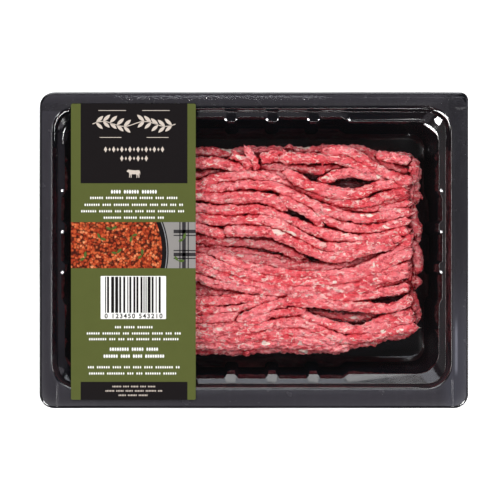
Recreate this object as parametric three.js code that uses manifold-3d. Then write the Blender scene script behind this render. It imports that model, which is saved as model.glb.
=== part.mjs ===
// A sealed pack of beef mince: a black thermoformed tray with a flat flange and a stepped, ribbed wall,
// a clear film welded over the flange, a printed label on the film and a block of mince strands inside.
// Millimetres, +Z up. X runs along the long side, the origin is under the middle of the pack.

import * as THREE from 'three';
import Module from 'manifold-3d';

const wasm = await Module();
wasm.setup();

// The pack, cut out of the sheet a little off the middle of its well
const packLength = 187;
const packWidth = 137.8;
const packCorner = 6.6;
const trayHeight = 35.2;
const sheet = 0.6;
const layGap = 0.3;

// The well: its mouth, its upper wall, the ledge that trays are stacked by, and the drafted lower wall
const wellCentre = [-0.95, 1.1];
const mouthLength = 173.8;
const mouthWidth = 122.8;
const mouthCorner = 8.6;
const rimRound = 0.7;
const ledgeDepth = 7;
const upperInset = 1.6;
const lowerInset = { long: 6, short: 4.7 };
const wallDraft = 2.4;
const floorFillet = 4;
const cornerSteps = 4;

// The lower wall stands back in the middle of each side, and upright ribs cross that recess
const recess = { long: 2, short: 1.5 };
const recessHalf = { long: 42.7, short: 25.1 };
const recessSlant = 3;
const ribPlaces = { long: [-27.2, -9.1, 9.1, 27.2], short: [-8.9, 8.9] };
const ribBase = 6.2;
const ribCrest = 3.6;

// The film, the label on it and the label's printed fields, each [left, right, bottom, top]
const filmThickness = 0.2;
const labelThickness = 0.2;
const printThickness = 0.1;
const labelField = [-79.5, -25.3, -65, 63.7];
const printedFields = {
  label_top_panel: { field: [-75.3, -28.9, 29.1, 63.7], colour: 0x231f20, roughness: 0.42 },
  label_picture: { field: [-79.5, -25.3, -7.8, 12.2], colour: 0xa9573a, roughness: 0.4 },
  label_code_patch: { field: [-66.6, -38.2, -29.9, -11.2], colour: 0xf6f5f1, roughness: 0.45 },
  label_foot_panel: { field: [-75.3, -28.9, -65, -57.2], colour: 0x231f20, roughness: 0.42 },
};

// The mince: strands as the mincer lays them, over a core that they hide
const strandWidth = 5.3;
const strandSides = 6;
const strandStep = 11.5;
const strandWander = 0.3;
const endDroop = 2.6;
const coreHalf = [66, 38.5];
const coreHeight = 21;
const coreTopShrink = 6;
const minceCentre = [-1, 0];
const minceBase = sheet + layGap;

// Each strand is a level for its middle line and the points that it passes over, from left to right
const topStrands = [
  [21.5, [-73, 41], [-42, 43], [-12, 42], [14, 43], [38, 43], [70, 40]],
  [24.2, [-72, 37], [-48, 39], [-22, 38.5], [-6, 36], [12, 40], [34, 43.5], [47, 41], [58, 33], [70, 30]],
  [22.6, [-73, 32], [-46, 34.5], [-20, 33], [4, 31], [24, 36], [42, 34.5], [53, 28]],
  [23, [14, 32.5], [31, 31.5], [40, 33.8], [48, 33.8], [58, 31]],
  [23.4, [-71, 28], [-40, 29], [-14, 32.5], [6, 32.5], [20, 26], [36, 25.5], [50, 27.5], [64, 30]],
  [23.6, [12, 27], [29, 22], [42, 19.5], [51, 20], [62, 24.5], [69, 26.3]],
  [24.4, [-72, 24], [-46, 24.5], [-20, 26.5], [2, 29], [18, 23], [38, 15], [52, 15], [70, 21]],
  [23.6, [-73, 19], [-38, 22], [-14, 24], [8, 23.5], [26, 15.5], [42, 10], [56, 9.5], [70, 15]],
  [24.6, [-71, 14.5], [-42, 17], [-16, 18.5], [8, 18], [24, 11], [40, 5.5], [56, 6], [69, 10]],
  [23.8, [-72, 10], [-40, 12.5], [-14, 14], [8, 12.5], [22, 6], [34, 1.5], [50, 3], [66, 6]],
  [24.4, [-73, 5.5], [-42, 8], [-14, 8.5], [6, 8], [20, 2], [32, -2.5], [48, 1], [62, 4.5]],
  [20.4, [-71, 1.5], [-40, 3.5], [-10, 3.8], [12, 3], [26, -4]],
  [23.2, [-73, -2.5], [-44, 0.5], [-24, -0.5], [0, -3], [20, -7], [38, -7.5], [54, -3], [63, 2], [69, 1]],
  [24.4, [-71, -7], [-42, -3], [-24, -4.5], [-2, -8.5], [18, -11.5], [36, -12], [54, -8], [70, -4]],
  [24.8, [-72, -11], [-44, -8], [-24, -9], [-6, -14], [20, -16], [40, -15.5], [56, -12], [70, -9]],
  [24.2, [-73, -16], [-40, -13.5], [-22, -13], [0, -17], [20, -20.5], [44, -20], [58, -17], [69, -14]],
  [22.6, [-71, -20], [-42, -20], [-22, -21.5], [2, -20.5], [14, -23], [38, -25], [52, -25.5], [68, -21]],
  [24, [-72, -25], [-44, -25.5], [-22, -26], [-4, -25], [12, -20.5], [24, -22.5]],
  [23.8, [-73, -30], [-42, -30], [-20, -30.5], [2, -29.5], [18, -24.5], [30, -29], [44, -33], [58, -29], [70, -27]],
  [24.2, [-71, -34.5], [-42, -34.5], [-20, -34.5], [4, -30.5], [24, -33.5], [40, -36], [56, -34.5], [71, -32]],
  [22.2, [-72, -39.5], [-44, -39.5], [-18, -39], [4, -36.5], [24, -38], [42, -39.5], [60, -37], [70, -35.5]],
  [20, [-70, -42.5], [-40, -43], [-6, -42.5], [20, -41.5], [46, -41], [64, -38]],
];
const sideStrands = [
  [16.2, [-71, 41.5], [-34, 43], [4, 42], [40, 43], [69, 40]],
  [10.6, [-72, 42], [-30, 42], [8, 43.5], [44, 42], [70, 41]],
  [4.2, [-70, 42], [-26, 43], [14, 42], [50, 43], [68, 41]],
  [14.6, [-71, -41], [-30, -42.5], [8, -41.5], [46, -41], [67, -37.5]],
  [9, [-70, -42], [-26, -41.5], [12, -42.5], [48, -41], [68, -39]],
  [3.6, [-72, -41], [-34, -42.5], [6, -42], [42, -42.5], [69, -40]],
];
const endStrands = [
  [17.4, [-68, -37], [-71, -18], [-70, 2], [-71.5, 22], [-68, 38]],
  [11.2, [-69, -38], [-70, -16], [-71.5, 4], [-70, 24], [-69, 39]],
  [4.8, [-68, -38], [-71.5, -14], [-70, 6], [-71, 26], [-68, 39]],
  [18.2, [66, -34], [69.5, -16], [68.5, 3], [69.5, 20], [66.5, 36]],
  [12, [67, -35], [68.5, -12], [70, 6], [68.5, 24], [67, 37]],
  [5.4, [66, -36], [69.5, -14], [68.5, 4], [70, 26], [66, 38]],
];

const material = (colour, roughness, more = {}) =>
  new THREE.MeshStandardMaterial({ color: colour, roughness, metalness: 0, ...more });

const trayPlastic = material(0x1c1b1f, 0.22);
const clearFilm = material(0xeef2f4, 0.06, { transparent: true, opacity: 0.16 });
const greenPrint = material(0x606637, 0.42);
const rawMeat = material(0xd2686a, 0.35);

function seededRandom(seed) {
  let state = seed;
  return () => {
    state = (state * 1664525 + 1013904223) % 4294967296;
    return state / 4294967296;
  };
}

// Where the points of a straight side lie along it: [place, share of the recess there]
function sideStops(kind) {
  const stops = [];
  const edge = recessHalf[kind];
  stops.push([-edge, 0], [-edge + recessSlant, 1]);
  for (const place of ribPlaces[kind]) {
    stops.push([place - ribBase / 2, 1], [place - ribCrest / 2, 0]);
    stops.push([place + ribCrest / 2, 0], [place + ribBase / 2, 1]);
  }
  stops.push([edge - recessSlant, 1], [edge, 0]);
  return stops;
}

// One rounded rectangle, anticlockwise seen from above; depth is how much of the recess it has
function ring({ centre, half, corner, height, depth = 0 }) {
  const points = [];
  const sides = [
    { kind: 'long', along: [1, 0], out: [0, -1], reach: half[1] },
    { kind: 'short', along: [0, 1], out: [1, 0], reach: half[0] },
    { kind: 'long', along: [-1, 0], out: [0, 1], reach: half[1] },
    { kind: 'short', along: [0, -1], out: [-1, 0], reach: half[0] },
  ];
  sides.forEach(({ kind, along, out, reach }, side) => {
    for (const [place, share] of sideStops(kind)) {
      const off = reach + share * recess[kind] * depth;
      points.push(new THREE.Vector3(
        centre[0] + along[0] * place + out[0] * off,
        centre[1] + along[1] * place + out[1] * off,
        height,
      ));
    }
    const turn = (side * Math.PI) / 2 - Math.PI / 2;
    const signs = [[1, -1], [1, 1], [-1, 1], [-1, -1]][side];
    for (let step = 0; step <= cornerSteps; step += 1) {
      const angle = turn + (step / cornerSteps) * (Math.PI / 2);
      points.push(new THREE.Vector3(
        centre[0] + signs[0] * (half[0] - corner) + corner * Math.cos(angle),
        centre[1] + signs[1] * (half[1] - corner) + corner * Math.sin(angle),
        height,
      ));
    }
  });
  return points;
}

// A closed skin through a run of rings of the same count, with a middle point at each end
function skin(rings, startMiddle, endMiddle) {
  const count = rings[0].length;
  const positions = [startMiddle, ...rings.flat(), endMiddle].flatMap((point) => [point.x, point.y, point.z]);
  const last = 1 + rings.length * count;
  const index = [];
  for (let i = 0; i < count; i += 1) {
    const next = (i + 1) % count;
    index.push(0, 1 + i, 1 + next);
    for (let level = 0; level < rings.length - 1; level += 1) {
      const low = 1 + level * count;
      const high = low + count;
      index.push(low + i, high + i, high + next, low + i, high + next, low + next);
    }
    index.push(last, last - count + next, last - count + i);
  }
  const geometry = new THREE.BufferGeometry();
  geometry.setAttribute('position', new THREE.Float32BufferAttribute(positions, 3));
  geometry.setIndex(index);
  return geometry;
}

// A ring of the well, so far in from the mouth on each kind of side, moved outward by the sheet if under it
function wellRing(insetLong, insetShort, corner, height, depth, under) {
  const grow = under ? sheet : 0;
  return ring({
    centre: wellCentre,
    half: [mouthLength / 2 - insetShort + grow, mouthWidth / 2 - insetLong + grow],
    corner: corner + grow,
    height: height - grow,
    depth,
  });
}

function trayGeometry() {
  const ledge = trayHeight - ledgeDepth;
  const foot = { long: lowerInset.long + wallDraft, short: lowerInset.short + wallDraft };
  const wellSide = (under) => [
    wellRing(foot.long + floorFillet, foot.short + floorFillet, 5, sheet, 0.6, under),
    wellRing(foot.long + floorFillet * 0.3, foot.short + floorFillet * 0.3, 7.4, sheet + floorFillet * 0.3, 1, under),
    wellRing(foot.long, foot.short, 8, sheet + floorFillet, 1, under),
    wellRing(lowerInset.long, lowerInset.short, 8, ledge - 0.8, 1, under),
    wellRing(lowerInset.long - 0.7, lowerInset.short - 0.7, 8.4, ledge, 1, under),
    wellRing(upperInset + 0.5, upperInset + 0.5, 8, ledge, 0, under),
    wellRing(upperInset, upperInset, 8.2, ledge + 0.6, 0, under),
    wellRing(0.15, 0.15, mouthCorner, trayHeight - rimRound, 0, under),
    wellRing(-rimRound * 0.8, -rimRound * 0.8, mouthCorner + rimRound, trayHeight, 0, under),
  ];
  const edge = (height) => ring({
    centre: [0, 0],
    half: [packLength / 2, packWidth / 2],
    corner: packCorner,
    height,
  });
  const rings = [...wellSide(false), edge(trayHeight), edge(trayHeight - sheet), ...wellSide(true).reverse()];
  const middle = (height) => new THREE.Vector3(wellCentre[0], wellCentre[1], height);
  return skin(rings, middle(sheet), middle(0));
}

function roundedPlate([left, right, bottom, top], corner, thickness) {
  const outline = new THREE.Shape();
  outline.moveTo(left + corner, bottom);
  outline.lineTo(right - corner, bottom);
  outline.absarc(right - corner, bottom + corner, corner, -Math.PI / 2, 0, false);
  outline.lineTo(right, top - corner);
  outline.absarc(right - corner, top - corner, corner, 0, Math.PI / 2, false);
  outline.lineTo(left + corner, top);
  outline.absarc(left + corner, top - corner, corner, Math.PI / 2, Math.PI, false);
  outline.lineTo(left, bottom + corner);
  outline.absarc(left + corner, bottom + corner, corner, Math.PI, Math.PI * 1.5, false);
  return new THREE.ExtrudeGeometry(outline, { depth: thickness, bevelEnabled: false, curveSegments: 6 });
}

function flatPlate([left, right, bottom, top], thickness) {
  const plate = new THREE.BoxGeometry(right - left, top - bottom, thickness);
  plate.translate((left + right) / 2, (bottom + top) / 2, thickness / 2);
  return plate;
}

// A closed mesh as a manifold solid: only the positions, with the shared vertices merged
function solid(geometry) {
  const flat = geometry.index ? geometry.toNonIndexed() : geometry;
  const source = flat.getAttribute('position');
  const places = new Map();
  const vertices = [];
  const triangles = [];
  for (let i = 0; i < source.count; i += 1) {
    const point = [source.getX(i), source.getY(i), source.getZ(i)];
    const key = point.map((value) => Math.round(value * 10000)).join(' ');
    if (!places.has(key)) {
      places.set(key, vertices.length / 3);
      vertices.push(...point);
    }
    triangles.push(places.get(key));
  }
  return new wasm.Manifold(new wasm.Mesh({
    numProp: 3,
    vertProperties: Float32Array.from(vertices),
    triVerts: Uint32Array.from(triangles),
  }));
}

function geometryOf(manifold) {
  const mesh = manifold.getMesh();
  const geometry = new THREE.BufferGeometry();
  geometry.setAttribute('position', new THREE.Float32BufferAttribute(mesh.vertProperties, 3));
  geometry.setIndex(Array.from(mesh.triVerts));
  return geometry;
}

// One strand: a tube of few sides along a smooth line that wanders a little off its points
function strand([level, ...points], random) {
  const wander = () => (random() - 0.5) * 2 * strandWander;
  const drooping = level > coreHeight - 2;
  const way = new THREE.CatmullRomCurve3(points.map(([x, y]) => new THREE.Vector3(
    x + minceCentre[0] + wander(),
    y + minceCentre[1] + wander(),
    level + wander() * 2 - (drooping && Math.abs(x) > coreHalf[0] ? endDroop : 0),
  )));
  const radius = (strandWidth / 2) * (0.96 + random() * 0.12);
  const spin = random() * Math.PI;
  const section = new THREE.Shape();
  for (let side = 0; side < strandSides; side += 1) {
    const angle = spin + (side / strandSides) * Math.PI * 2;
    const place = [Math.cos(angle) * radius, Math.sin(angle) * radius];
    if (side === 0) section.moveTo(...place);
    else section.lineTo(...place);
  }
  section.closePath();
  const steps = Math.round(way.getLength() / strandStep);
  return new THREE.ExtrudeGeometry(section, { steps, extrudePath: way, bevelEnabled: false });
}

function coreGeometry() {
  const block = new THREE.BoxGeometry(coreHalf[0] * 2, coreHalf[1] * 2, coreHeight, 6, 4, 1);
  block.translate(minceCentre[0], minceCentre[1], minceBase + coreHeight / 2);
  const place = block.getAttribute('position');
  for (let i = 0; i < place.count; i += 1) {
    if (place.getZ(i) > minceBase + coreHeight / 2) {
      place.setX(i, place.getX(i) * (1 - coreTopShrink / coreHalf[0] / 2));
      place.setY(i, place.getY(i) * (1 - coreTopShrink / coreHalf[1] / 2));
    }
  }
  return block;
}

// Everything fused to one body; hollows that the fusing seals are filled and loose scraps dropped
function minceGeometry() {
  const random = seededRandom(41);
  let heap = solid(coreGeometry());
  for (const way of [...topStrands, ...sideStrands, ...endStrands]) {
    heap = heap.add(solid(strand(way, random)));
  }
  let filled = null;
  for (const body of heap.decompose()) {
    if (body.volume() > 0 && (!filled || body.volume() > filled.volume())) filled = body;
  }
  return geometryOf(filled);
}

function meshOf(name, geometry, looks, height = 0) {
  const mesh = new THREE.Mesh(geometry, looks);
  mesh.name = name;
  mesh.position.z = height;
  return mesh;
}

const pack = new THREE.Group();
const filmHeight = trayHeight + layGap;
const labelHeight = filmHeight + filmThickness + layGap;
const printHeight = labelHeight + labelThickness + layGap;
const packField = [-packLength / 2, packLength / 2, -packWidth / 2, packWidth / 2];

pack.add(meshOf('tray', trayGeometry(), trayPlastic));
pack.add(meshOf('mince', minceGeometry(), rawMeat));
pack.add(meshOf('film', roundedPlate(packField, packCorner, filmThickness), clearFilm, filmHeight));
pack.add(meshOf('label', flatPlate(labelField, labelThickness), greenPrint, labelHeight));
for (const [name, { field, colour, roughness }] of Object.entries(printedFields)) {
  pack.add(meshOf(name, flatPlate(field, printThickness), material(colour, roughness), printHeight));
}

export default pack;
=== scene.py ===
"""A sealed retail pack of beef mince: ribbed black tray, clear film, printed label and mince strands."""

import math
import random

import bmesh
import bpy
import numpy as np
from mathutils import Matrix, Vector, noise


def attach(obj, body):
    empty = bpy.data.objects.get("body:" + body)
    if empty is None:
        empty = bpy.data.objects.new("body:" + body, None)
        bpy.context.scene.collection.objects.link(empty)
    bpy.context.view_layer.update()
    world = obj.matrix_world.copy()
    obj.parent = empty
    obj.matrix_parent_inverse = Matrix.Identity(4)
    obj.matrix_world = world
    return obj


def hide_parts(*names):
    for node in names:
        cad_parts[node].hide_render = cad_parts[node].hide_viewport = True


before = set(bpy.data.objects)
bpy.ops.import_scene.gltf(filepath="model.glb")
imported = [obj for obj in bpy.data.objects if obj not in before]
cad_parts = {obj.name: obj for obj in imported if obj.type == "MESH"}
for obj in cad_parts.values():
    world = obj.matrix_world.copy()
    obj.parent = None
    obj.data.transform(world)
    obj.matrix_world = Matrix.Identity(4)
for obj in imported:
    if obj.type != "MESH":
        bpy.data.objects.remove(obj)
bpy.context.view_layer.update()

MM = 0.001

# The tray, in millimetres as the solids have it
PACK_HALF = (93.5, 68.9)
PACK_CORNER = 6.6
TIGHT_CORNER = 3.8
TRAY_HEIGHT = 35.2
SHEET = 0.6
WELL_CENTRE = (-0.95, 1.1)
MOUTH_HALF = (86.9, 61.4)
MOUTH_CORNER = 11.2
WALL_CORNER = 9.2
LEDGE_CORNER = 8.6
# The rings of the rounded mouth: how far each lies out from the mouth, and below the flange
MOUTH_RINGS = ((-0.8, 1.3), (-0.35, 0.4), (0.5, 0.05))
LEDGE_HEIGHT = 28.2
UPPER_INSET = 1.6
LOWER_INSET = (4.7, 6.0)
WALL_HALF = tuple(MOUTH_HALF[axis] - LOWER_INSET[axis] for axis in (0, 1))
WALL_DRAFT = 2.4
FLOOR_FILLET = 4.0
FLOOR_CORNER = 5.0
CORNER_SEGMENTS = 9
# The rings of the floor's fillet: shares of its width and height, corner radius, share of the recess
FLOOR_RINGS = ((0.38, 0.08, 5.8, 0.25), (0.71, 0.29, 6.6, 0.6), (0.92, 0.62, 7.4, 0.9), (1, 1, 8.0, 1.0))
RECESS = (1.5, 2.0)
RECESS_HALF = (42.7, 25.1)
RECESS_SLANT = 3.0
RIB_PLACES = ((-27.2, -9.1, 9.1, 27.2), (-8.9, 8.9))
RIB_BASE = 6.2
RIB_CREST = 3.6
EDGE_ROUND = 1.0
LEDGE_SLOPE = 1.2
LIP_WIDTH = 0.9
LIP_DROP = 0.25
FACET_SIDES = 12
RIM_START = 0.965

# The film and the label
FILM_HEIGHT = 35.5
FILM_SHEET = 0.08
FILM_SAG = 0.18
LABEL_FIELD = (-79.5, -25.3, -65.0, 63.7)
LABEL_HEIGHT = 35.95
LABEL_SHEET = 0.2
INK_LIFT = 0.03
HEAD_PANEL = (-75.3, -28.9, 29.1, 63.7)
PICTURE_FIELD = (-79.5, -25.3, -7.8, 12.2)
CODE_PATCH = (-66.6, -38.2, -29.9, -11.2)
CODE_SPAN = (-64.7, -39.8)
FOOT_PANEL = (-75.3, -28.9, -65.0, -57.2)
LABEL_MIDDLE = -52.1
HERB_PLACES = (
    (6, 4.5), (12.5, 13), (20, 6.5), (26.5, 14), (17.5, 16.8), (31, 5.6), (46.5, 3.2), (49, 12.6),
)
# The label's rows of beads: the level of their base, their width and size, and whether they are bold
LABEL_ROWS = (
    (24.6, 20.6, 2.0, True), (22.2, 39, 1.75), (19.2, 44, 1.75), (16.4, 46.5, 1.75), (13.6, 27, 1.75),
    (-34.0, 17.6, 1.75), (-36.7, 41.6, 1.75), (-39.2, 39.2, 1.75), (-43.8, 22.2, 1.9, True),
    (-46.8, 27.6, 1.9, True), (-51.4, 40.8, 1.75), (-54.1, 39.2, 1.75),
)
FOOT_ROWS = ((-59.6, 19, 1.2), (-61.5, 25, 1.2), (-63.4, 14, 1.2))
LEVEL_LIGHT = 1.27
INK_GLOSS = 0.12
BEAD_NICK = 0.28
ARC_STEPS = 24
LEAF_STEPS = 8

# The mince
MINCE_BASE = 0.9
SUNK_HEIGHT = 22.1
LEFT_DIPS = (2.4, 0.6)
LABEL_END = -70
CORE_SIZE = (135, 80, 17)
WANDER = 0.3
SIDE_LEVELS = (16.8, 13.0, 9.4, 6.2, 3.3)
END_LEVELS = (18.0, 14.6, 11.2, 7.4, 3.4)

# The view from above, as the pack was photographed
CAMERA_HEIGHT = 700.0
FRAME_WIDTH = 217.6
CAMERA_OFF = (-1.7, 0.1)

# The lamps whose glints show along the tray's edges and corners, in metres
FRONT_LEFT = (-0.49, -0.46, 1.2)
FRONT_RIGHT = (0.49, -0.46, 1.2)
FRONT_SOFTBOX = (0.05, -1.3, 0.62)
BACK_SOFTBOX = (-0.1, 1.0, 0.95)


# Modelling helpers

def leave_edit():
    if bpy.context.object and bpy.context.object.mode != "OBJECT":
        bpy.ops.object.mode_set(mode="OBJECT")


def start_clean():
    leave_edit()
    bpy.ops.object.select_all(action="DESELECT")


def named(name):
    piece = bpy.context.object
    piece.name = name
    piece.data.name = name
    return piece


def select_all():
    bpy.ops.mesh.select_all(action="SELECT")


def pick(piece):
    start_clean()
    piece.select_set(True)
    bpy.context.view_layer.objects.active = piece


def turn_outwards():
    """Turns all faces outwards and leaves edit mode."""
    select_all()
    bpy.ops.mesh.normals_make_consistent(inside=False)
    leave_edit()


def move(offset):
    bpy.ops.transform.translate(value=[value * MM for value in offset])


def plane_piece(name, field, height):
    """A flat rectangle (left, right, bottom, top) in millimetres, left selected in edit mode."""
    left, right, bottom, top = field
    start_clean()
    bpy.ops.mesh.primitive_plane_add(size=1)
    piece = named(name)
    bpy.ops.object.mode_set(mode="EDIT")
    select_all()
    bpy.ops.transform.resize(value=((right - left) * MM, (top - bottom) * MM, 1))
    move(((left + right) / 2, (bottom + top) / 2, height))
    return piece


def round_corners(radius, segments):
    bpy.ops.mesh.select_mode(type="VERT")
    bpy.ops.mesh.bevel(offset=radius * MM, offset_type="OFFSET", segments=segments, affect="VERTICES")


def edit_mesh():
    mesh = bmesh.from_edit_mesh(bpy.context.object.data)
    mesh.verts.ensure_lookup_table()
    return mesh


def selected_points():
    return [point.index for point in edit_mesh().verts if point.select]


def choose(indices, test=None):
    """Selects these points, or those of them whose place in millimetres passes the test."""
    bpy.ops.mesh.select_mode(type="VERT")
    bpy.ops.mesh.select_all(action="DESELECT")
    mesh = edit_mesh()
    found = False
    for index in indices:
        place = mesh.verts[index].co / MM
        if test is None or test(place):
            mesh.verts[index].select = True
            found = True
    mesh.select_flush(True)
    bmesh.update_edit_mesh(bpy.context.object.data)
    return found


def apply_modifier(piece, kind, name, **settings):
    modifier = piece.modifiers.new(name, kind)
    for key, value in settings.items():
        setattr(modifier, key, value)
    bpy.context.view_layer.objects.active = piece
    bpy.ops.object.modifier_apply(modifier=modifier.name)


def thicken(piece, thickness, offset=-1.0):
    apply_modifier(piece, "SOLIDIFY", "sheet", thickness=thickness * MM, offset=offset)


def smooth(piece, angle):
    pick(piece)
    bpy.ops.object.shade_smooth_by_angle(angle=math.radians(angle))


def finish_piece(piece, node, material):
    piece.data.materials.clear()
    piece.data.materials.append(material)
    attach(piece, "root")
    if node:
        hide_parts(node)


class Tubes:
    """Closed tubes that go into one mesh: their points in millimetres, ring by ring, and their faces."""

    def __init__(self):
        self.points = []
        self.faces = []

    def add(self, rings):
        """Adds one tube with closed ends through rings of like points."""
        start, sides = len(self.points), len(rings[0])
        last = start + (len(rings) - 1) * sides
        for ring in rings:
            self.points += ring
        for low in range(start, last, sides):
            for side in range(sides):
                after = (side + 1) % sides
                self.faces.append((low + side, low + sides + side, low + sides + after, low + after))
        self.faces.append([start + side for side in range(sides)])
        self.faces.append([last + sides - 1 - side for side in range(sides)])

    def piece(self, name):
        mesh = bpy.data.meshes.new(name)
        mesh.from_pydata([[value * MM for value in point] for point in self.points], [], self.faces)
        mesh.validate()
        piece = bpy.data.objects.new(name, mesh)
        bpy.context.scene.collection.objects.link(piece)
        return piece

    def outward_piece(self, name):
        piece = self.piece(name)
        pick(piece)
        bpy.ops.object.mode_set(mode="EDIT")
        turn_outwards()
        return piece


# Material helpers

class Signal:
    """What a node gives out; sums on it add their Math nodes."""

    def __init__(self, finish, socket):
        self.finish = finish
        self.socket = socket

    def sum(self, operation, first, second):
        return self.finish.add("Math", {"operation": operation}, {0: first, 1: second})

    def __add__(self, other):
        return self.sum("ADD", self, other)

    def __radd__(self, other):
        return self.sum("ADD", other, self)

    def __sub__(self, other):
        return self.sum("SUBTRACT", self, other)

    def __rsub__(self, other):
        return self.sum("SUBTRACT", other, self)

    def __mul__(self, other):
        return self.sum("MULTIPLY", self, other)

    def __rmul__(self, other):
        return self.sum("MULTIPLY", other, self)

    def __pow__(self, other):
        return self.sum("POWER", self, other)

    def __abs__(self):
        return self.sum("ABSOLUTE", self, 0.0)

    def most(self, other):
        return self.sum("MAXIMUM", self, other)

    def least(self, other):
        return self.sum("MINIMUM", self, other)


class Finish:
    """A material, and the one way that nodes are added to it."""

    def __init__(self, name):
        self.material = bpy.data.materials.new(name)
        self.material.use_nodes = True
        self.tree = self.material.node_tree
        self.shader = self.tree.nodes["Principled BSDF"]
        self.output = self.tree.nodes["Material Output"]

    def feed(self, socket, value):
        if isinstance(value, Signal):
            self.tree.links.new(value.socket, socket)
        else:
            socket.default_value = value

    def add(self, kind, settings=None, inputs=None, output=0):
        node = self.tree.nodes.new("ShaderNode" + kind)
        for key, value in (settings or {}).items():
            if key == "stops":
                self.lay_stops(node.color_ramp, value)
            else:
                setattr(node, key, value)
        for key, value in (inputs or {}).items():
            self.feed(node.inputs[key], value)
        return Signal(self, node.outputs[output])

    def lay_stops(self, ramp, stops):
        while len(ramp.elements) < len(stops):
            ramp.elements.new(0.5)
        for element, (place, colour) in zip(ramp.elements, stops):
            element.position = place
            element.color = (*colour, 1.0)

    def place(self):
        return self.add("TexCoord", output="Object")

    def axis(self, which):
        """A coordinate of the surface in millimetres."""
        return self.add("SeparateXYZ", inputs={0: self.place()}, output=which) * 1000.0

    def stretched(self, along):
        return self.add("Mapping", inputs={"Vector": self.place(), "Scale": along})

    def cloud(self, size, detail=2.0, roughness=0.5, along=(1, 1, 1), warp=0.0):
        """Soft noise whose features are about so many millimetres across."""
        inputs = {"Vector": self.stretched(along), "Scale": 1000.0 / size, "Detail": detail}
        inputs.update({"Roughness": roughness, "Distortion": warp})
        return self.add("TexNoise", inputs=inputs)

    def cells(self, size, along):
        inputs = {"Vector": self.stretched(along), "Scale": 1000.0 / size}
        return self.add("TexVoronoi", {"feature": "SMOOTH_F1"}, inputs, "Distance")

    def openness(self, reach):
        """1 where nothing lies over the surface within so many millimetres, less in creases and hollows."""
        return self.add("AmbientOcclusion", {"samples": 8}, {"Distance": reach * MM}, "AO")

    def step(self, value, low, high):
        """0 up to low, 1 from high on, and a smooth rise between them."""
        inputs = {"Value": value, "From Min": low, "From Max": high}
        return self.add("MapRange", {"interpolation_type": "SMOOTHSTEP"}, inputs)

    def mix(self, share, low, high):
        low = low if isinstance(low, Signal) else (*low, 1.0)
        high = high if isinstance(high, Signal) else (*high, 1.0)
        return self.add("Mix", {"data_type": "RGBA"}, {0: share, 6: low, 7: high}, 2)

    def bump(self, height, depth):
        """Bump whose height of 1 stands so many millimetres proud."""
        return self.add("Bump", inputs={"Height": height, "Distance": depth * MM, "Strength": 1.0})

    def relief(self, height, depth):
        self.set(normal=self.bump(height, depth))

    def set(self, **values):
        for key, value in values.items():
            self.feed(self.shader.inputs[key.replace("_", " ").title().replace("Ior", "IOR")], value)


def srgb(red, green, blue):
    """A colour given on the 0 to 255 scale of a screen, as light."""
    return tuple(
        value / 255 / 12.92 if value <= 10 else ((value / 255 + 0.055) / 1.055) ** 2.4
        for value in (red, green, blue)
    )


def seen(red, green, blue):
    """The surface colour that shows as this screen colour under the studio's light."""
    return tuple(value / LEVEL_LIGHT for value in srgb(red, green, blue))


# Materials

def outside(finish, centre, half, corner):
    """How far a point lies outside a rounded rectangle, in millimetres."""
    across = abs(finish.axis("X") - centre[0]) - (half[0] - corner)
    up = abs(finish.axis("Y") - centre[1]) - (half[1] - corner)
    rounded = (across.most(0.0) ** 2.0 + up.most(0.0) ** 2.0) ** 0.5
    return rounded + across.most(up).least(0.0) - corner


def outside_mouth(finish):
    return outside(finish, WELL_CENTRE, MOUTH_HALF, MOUTH_CORNER)


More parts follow.
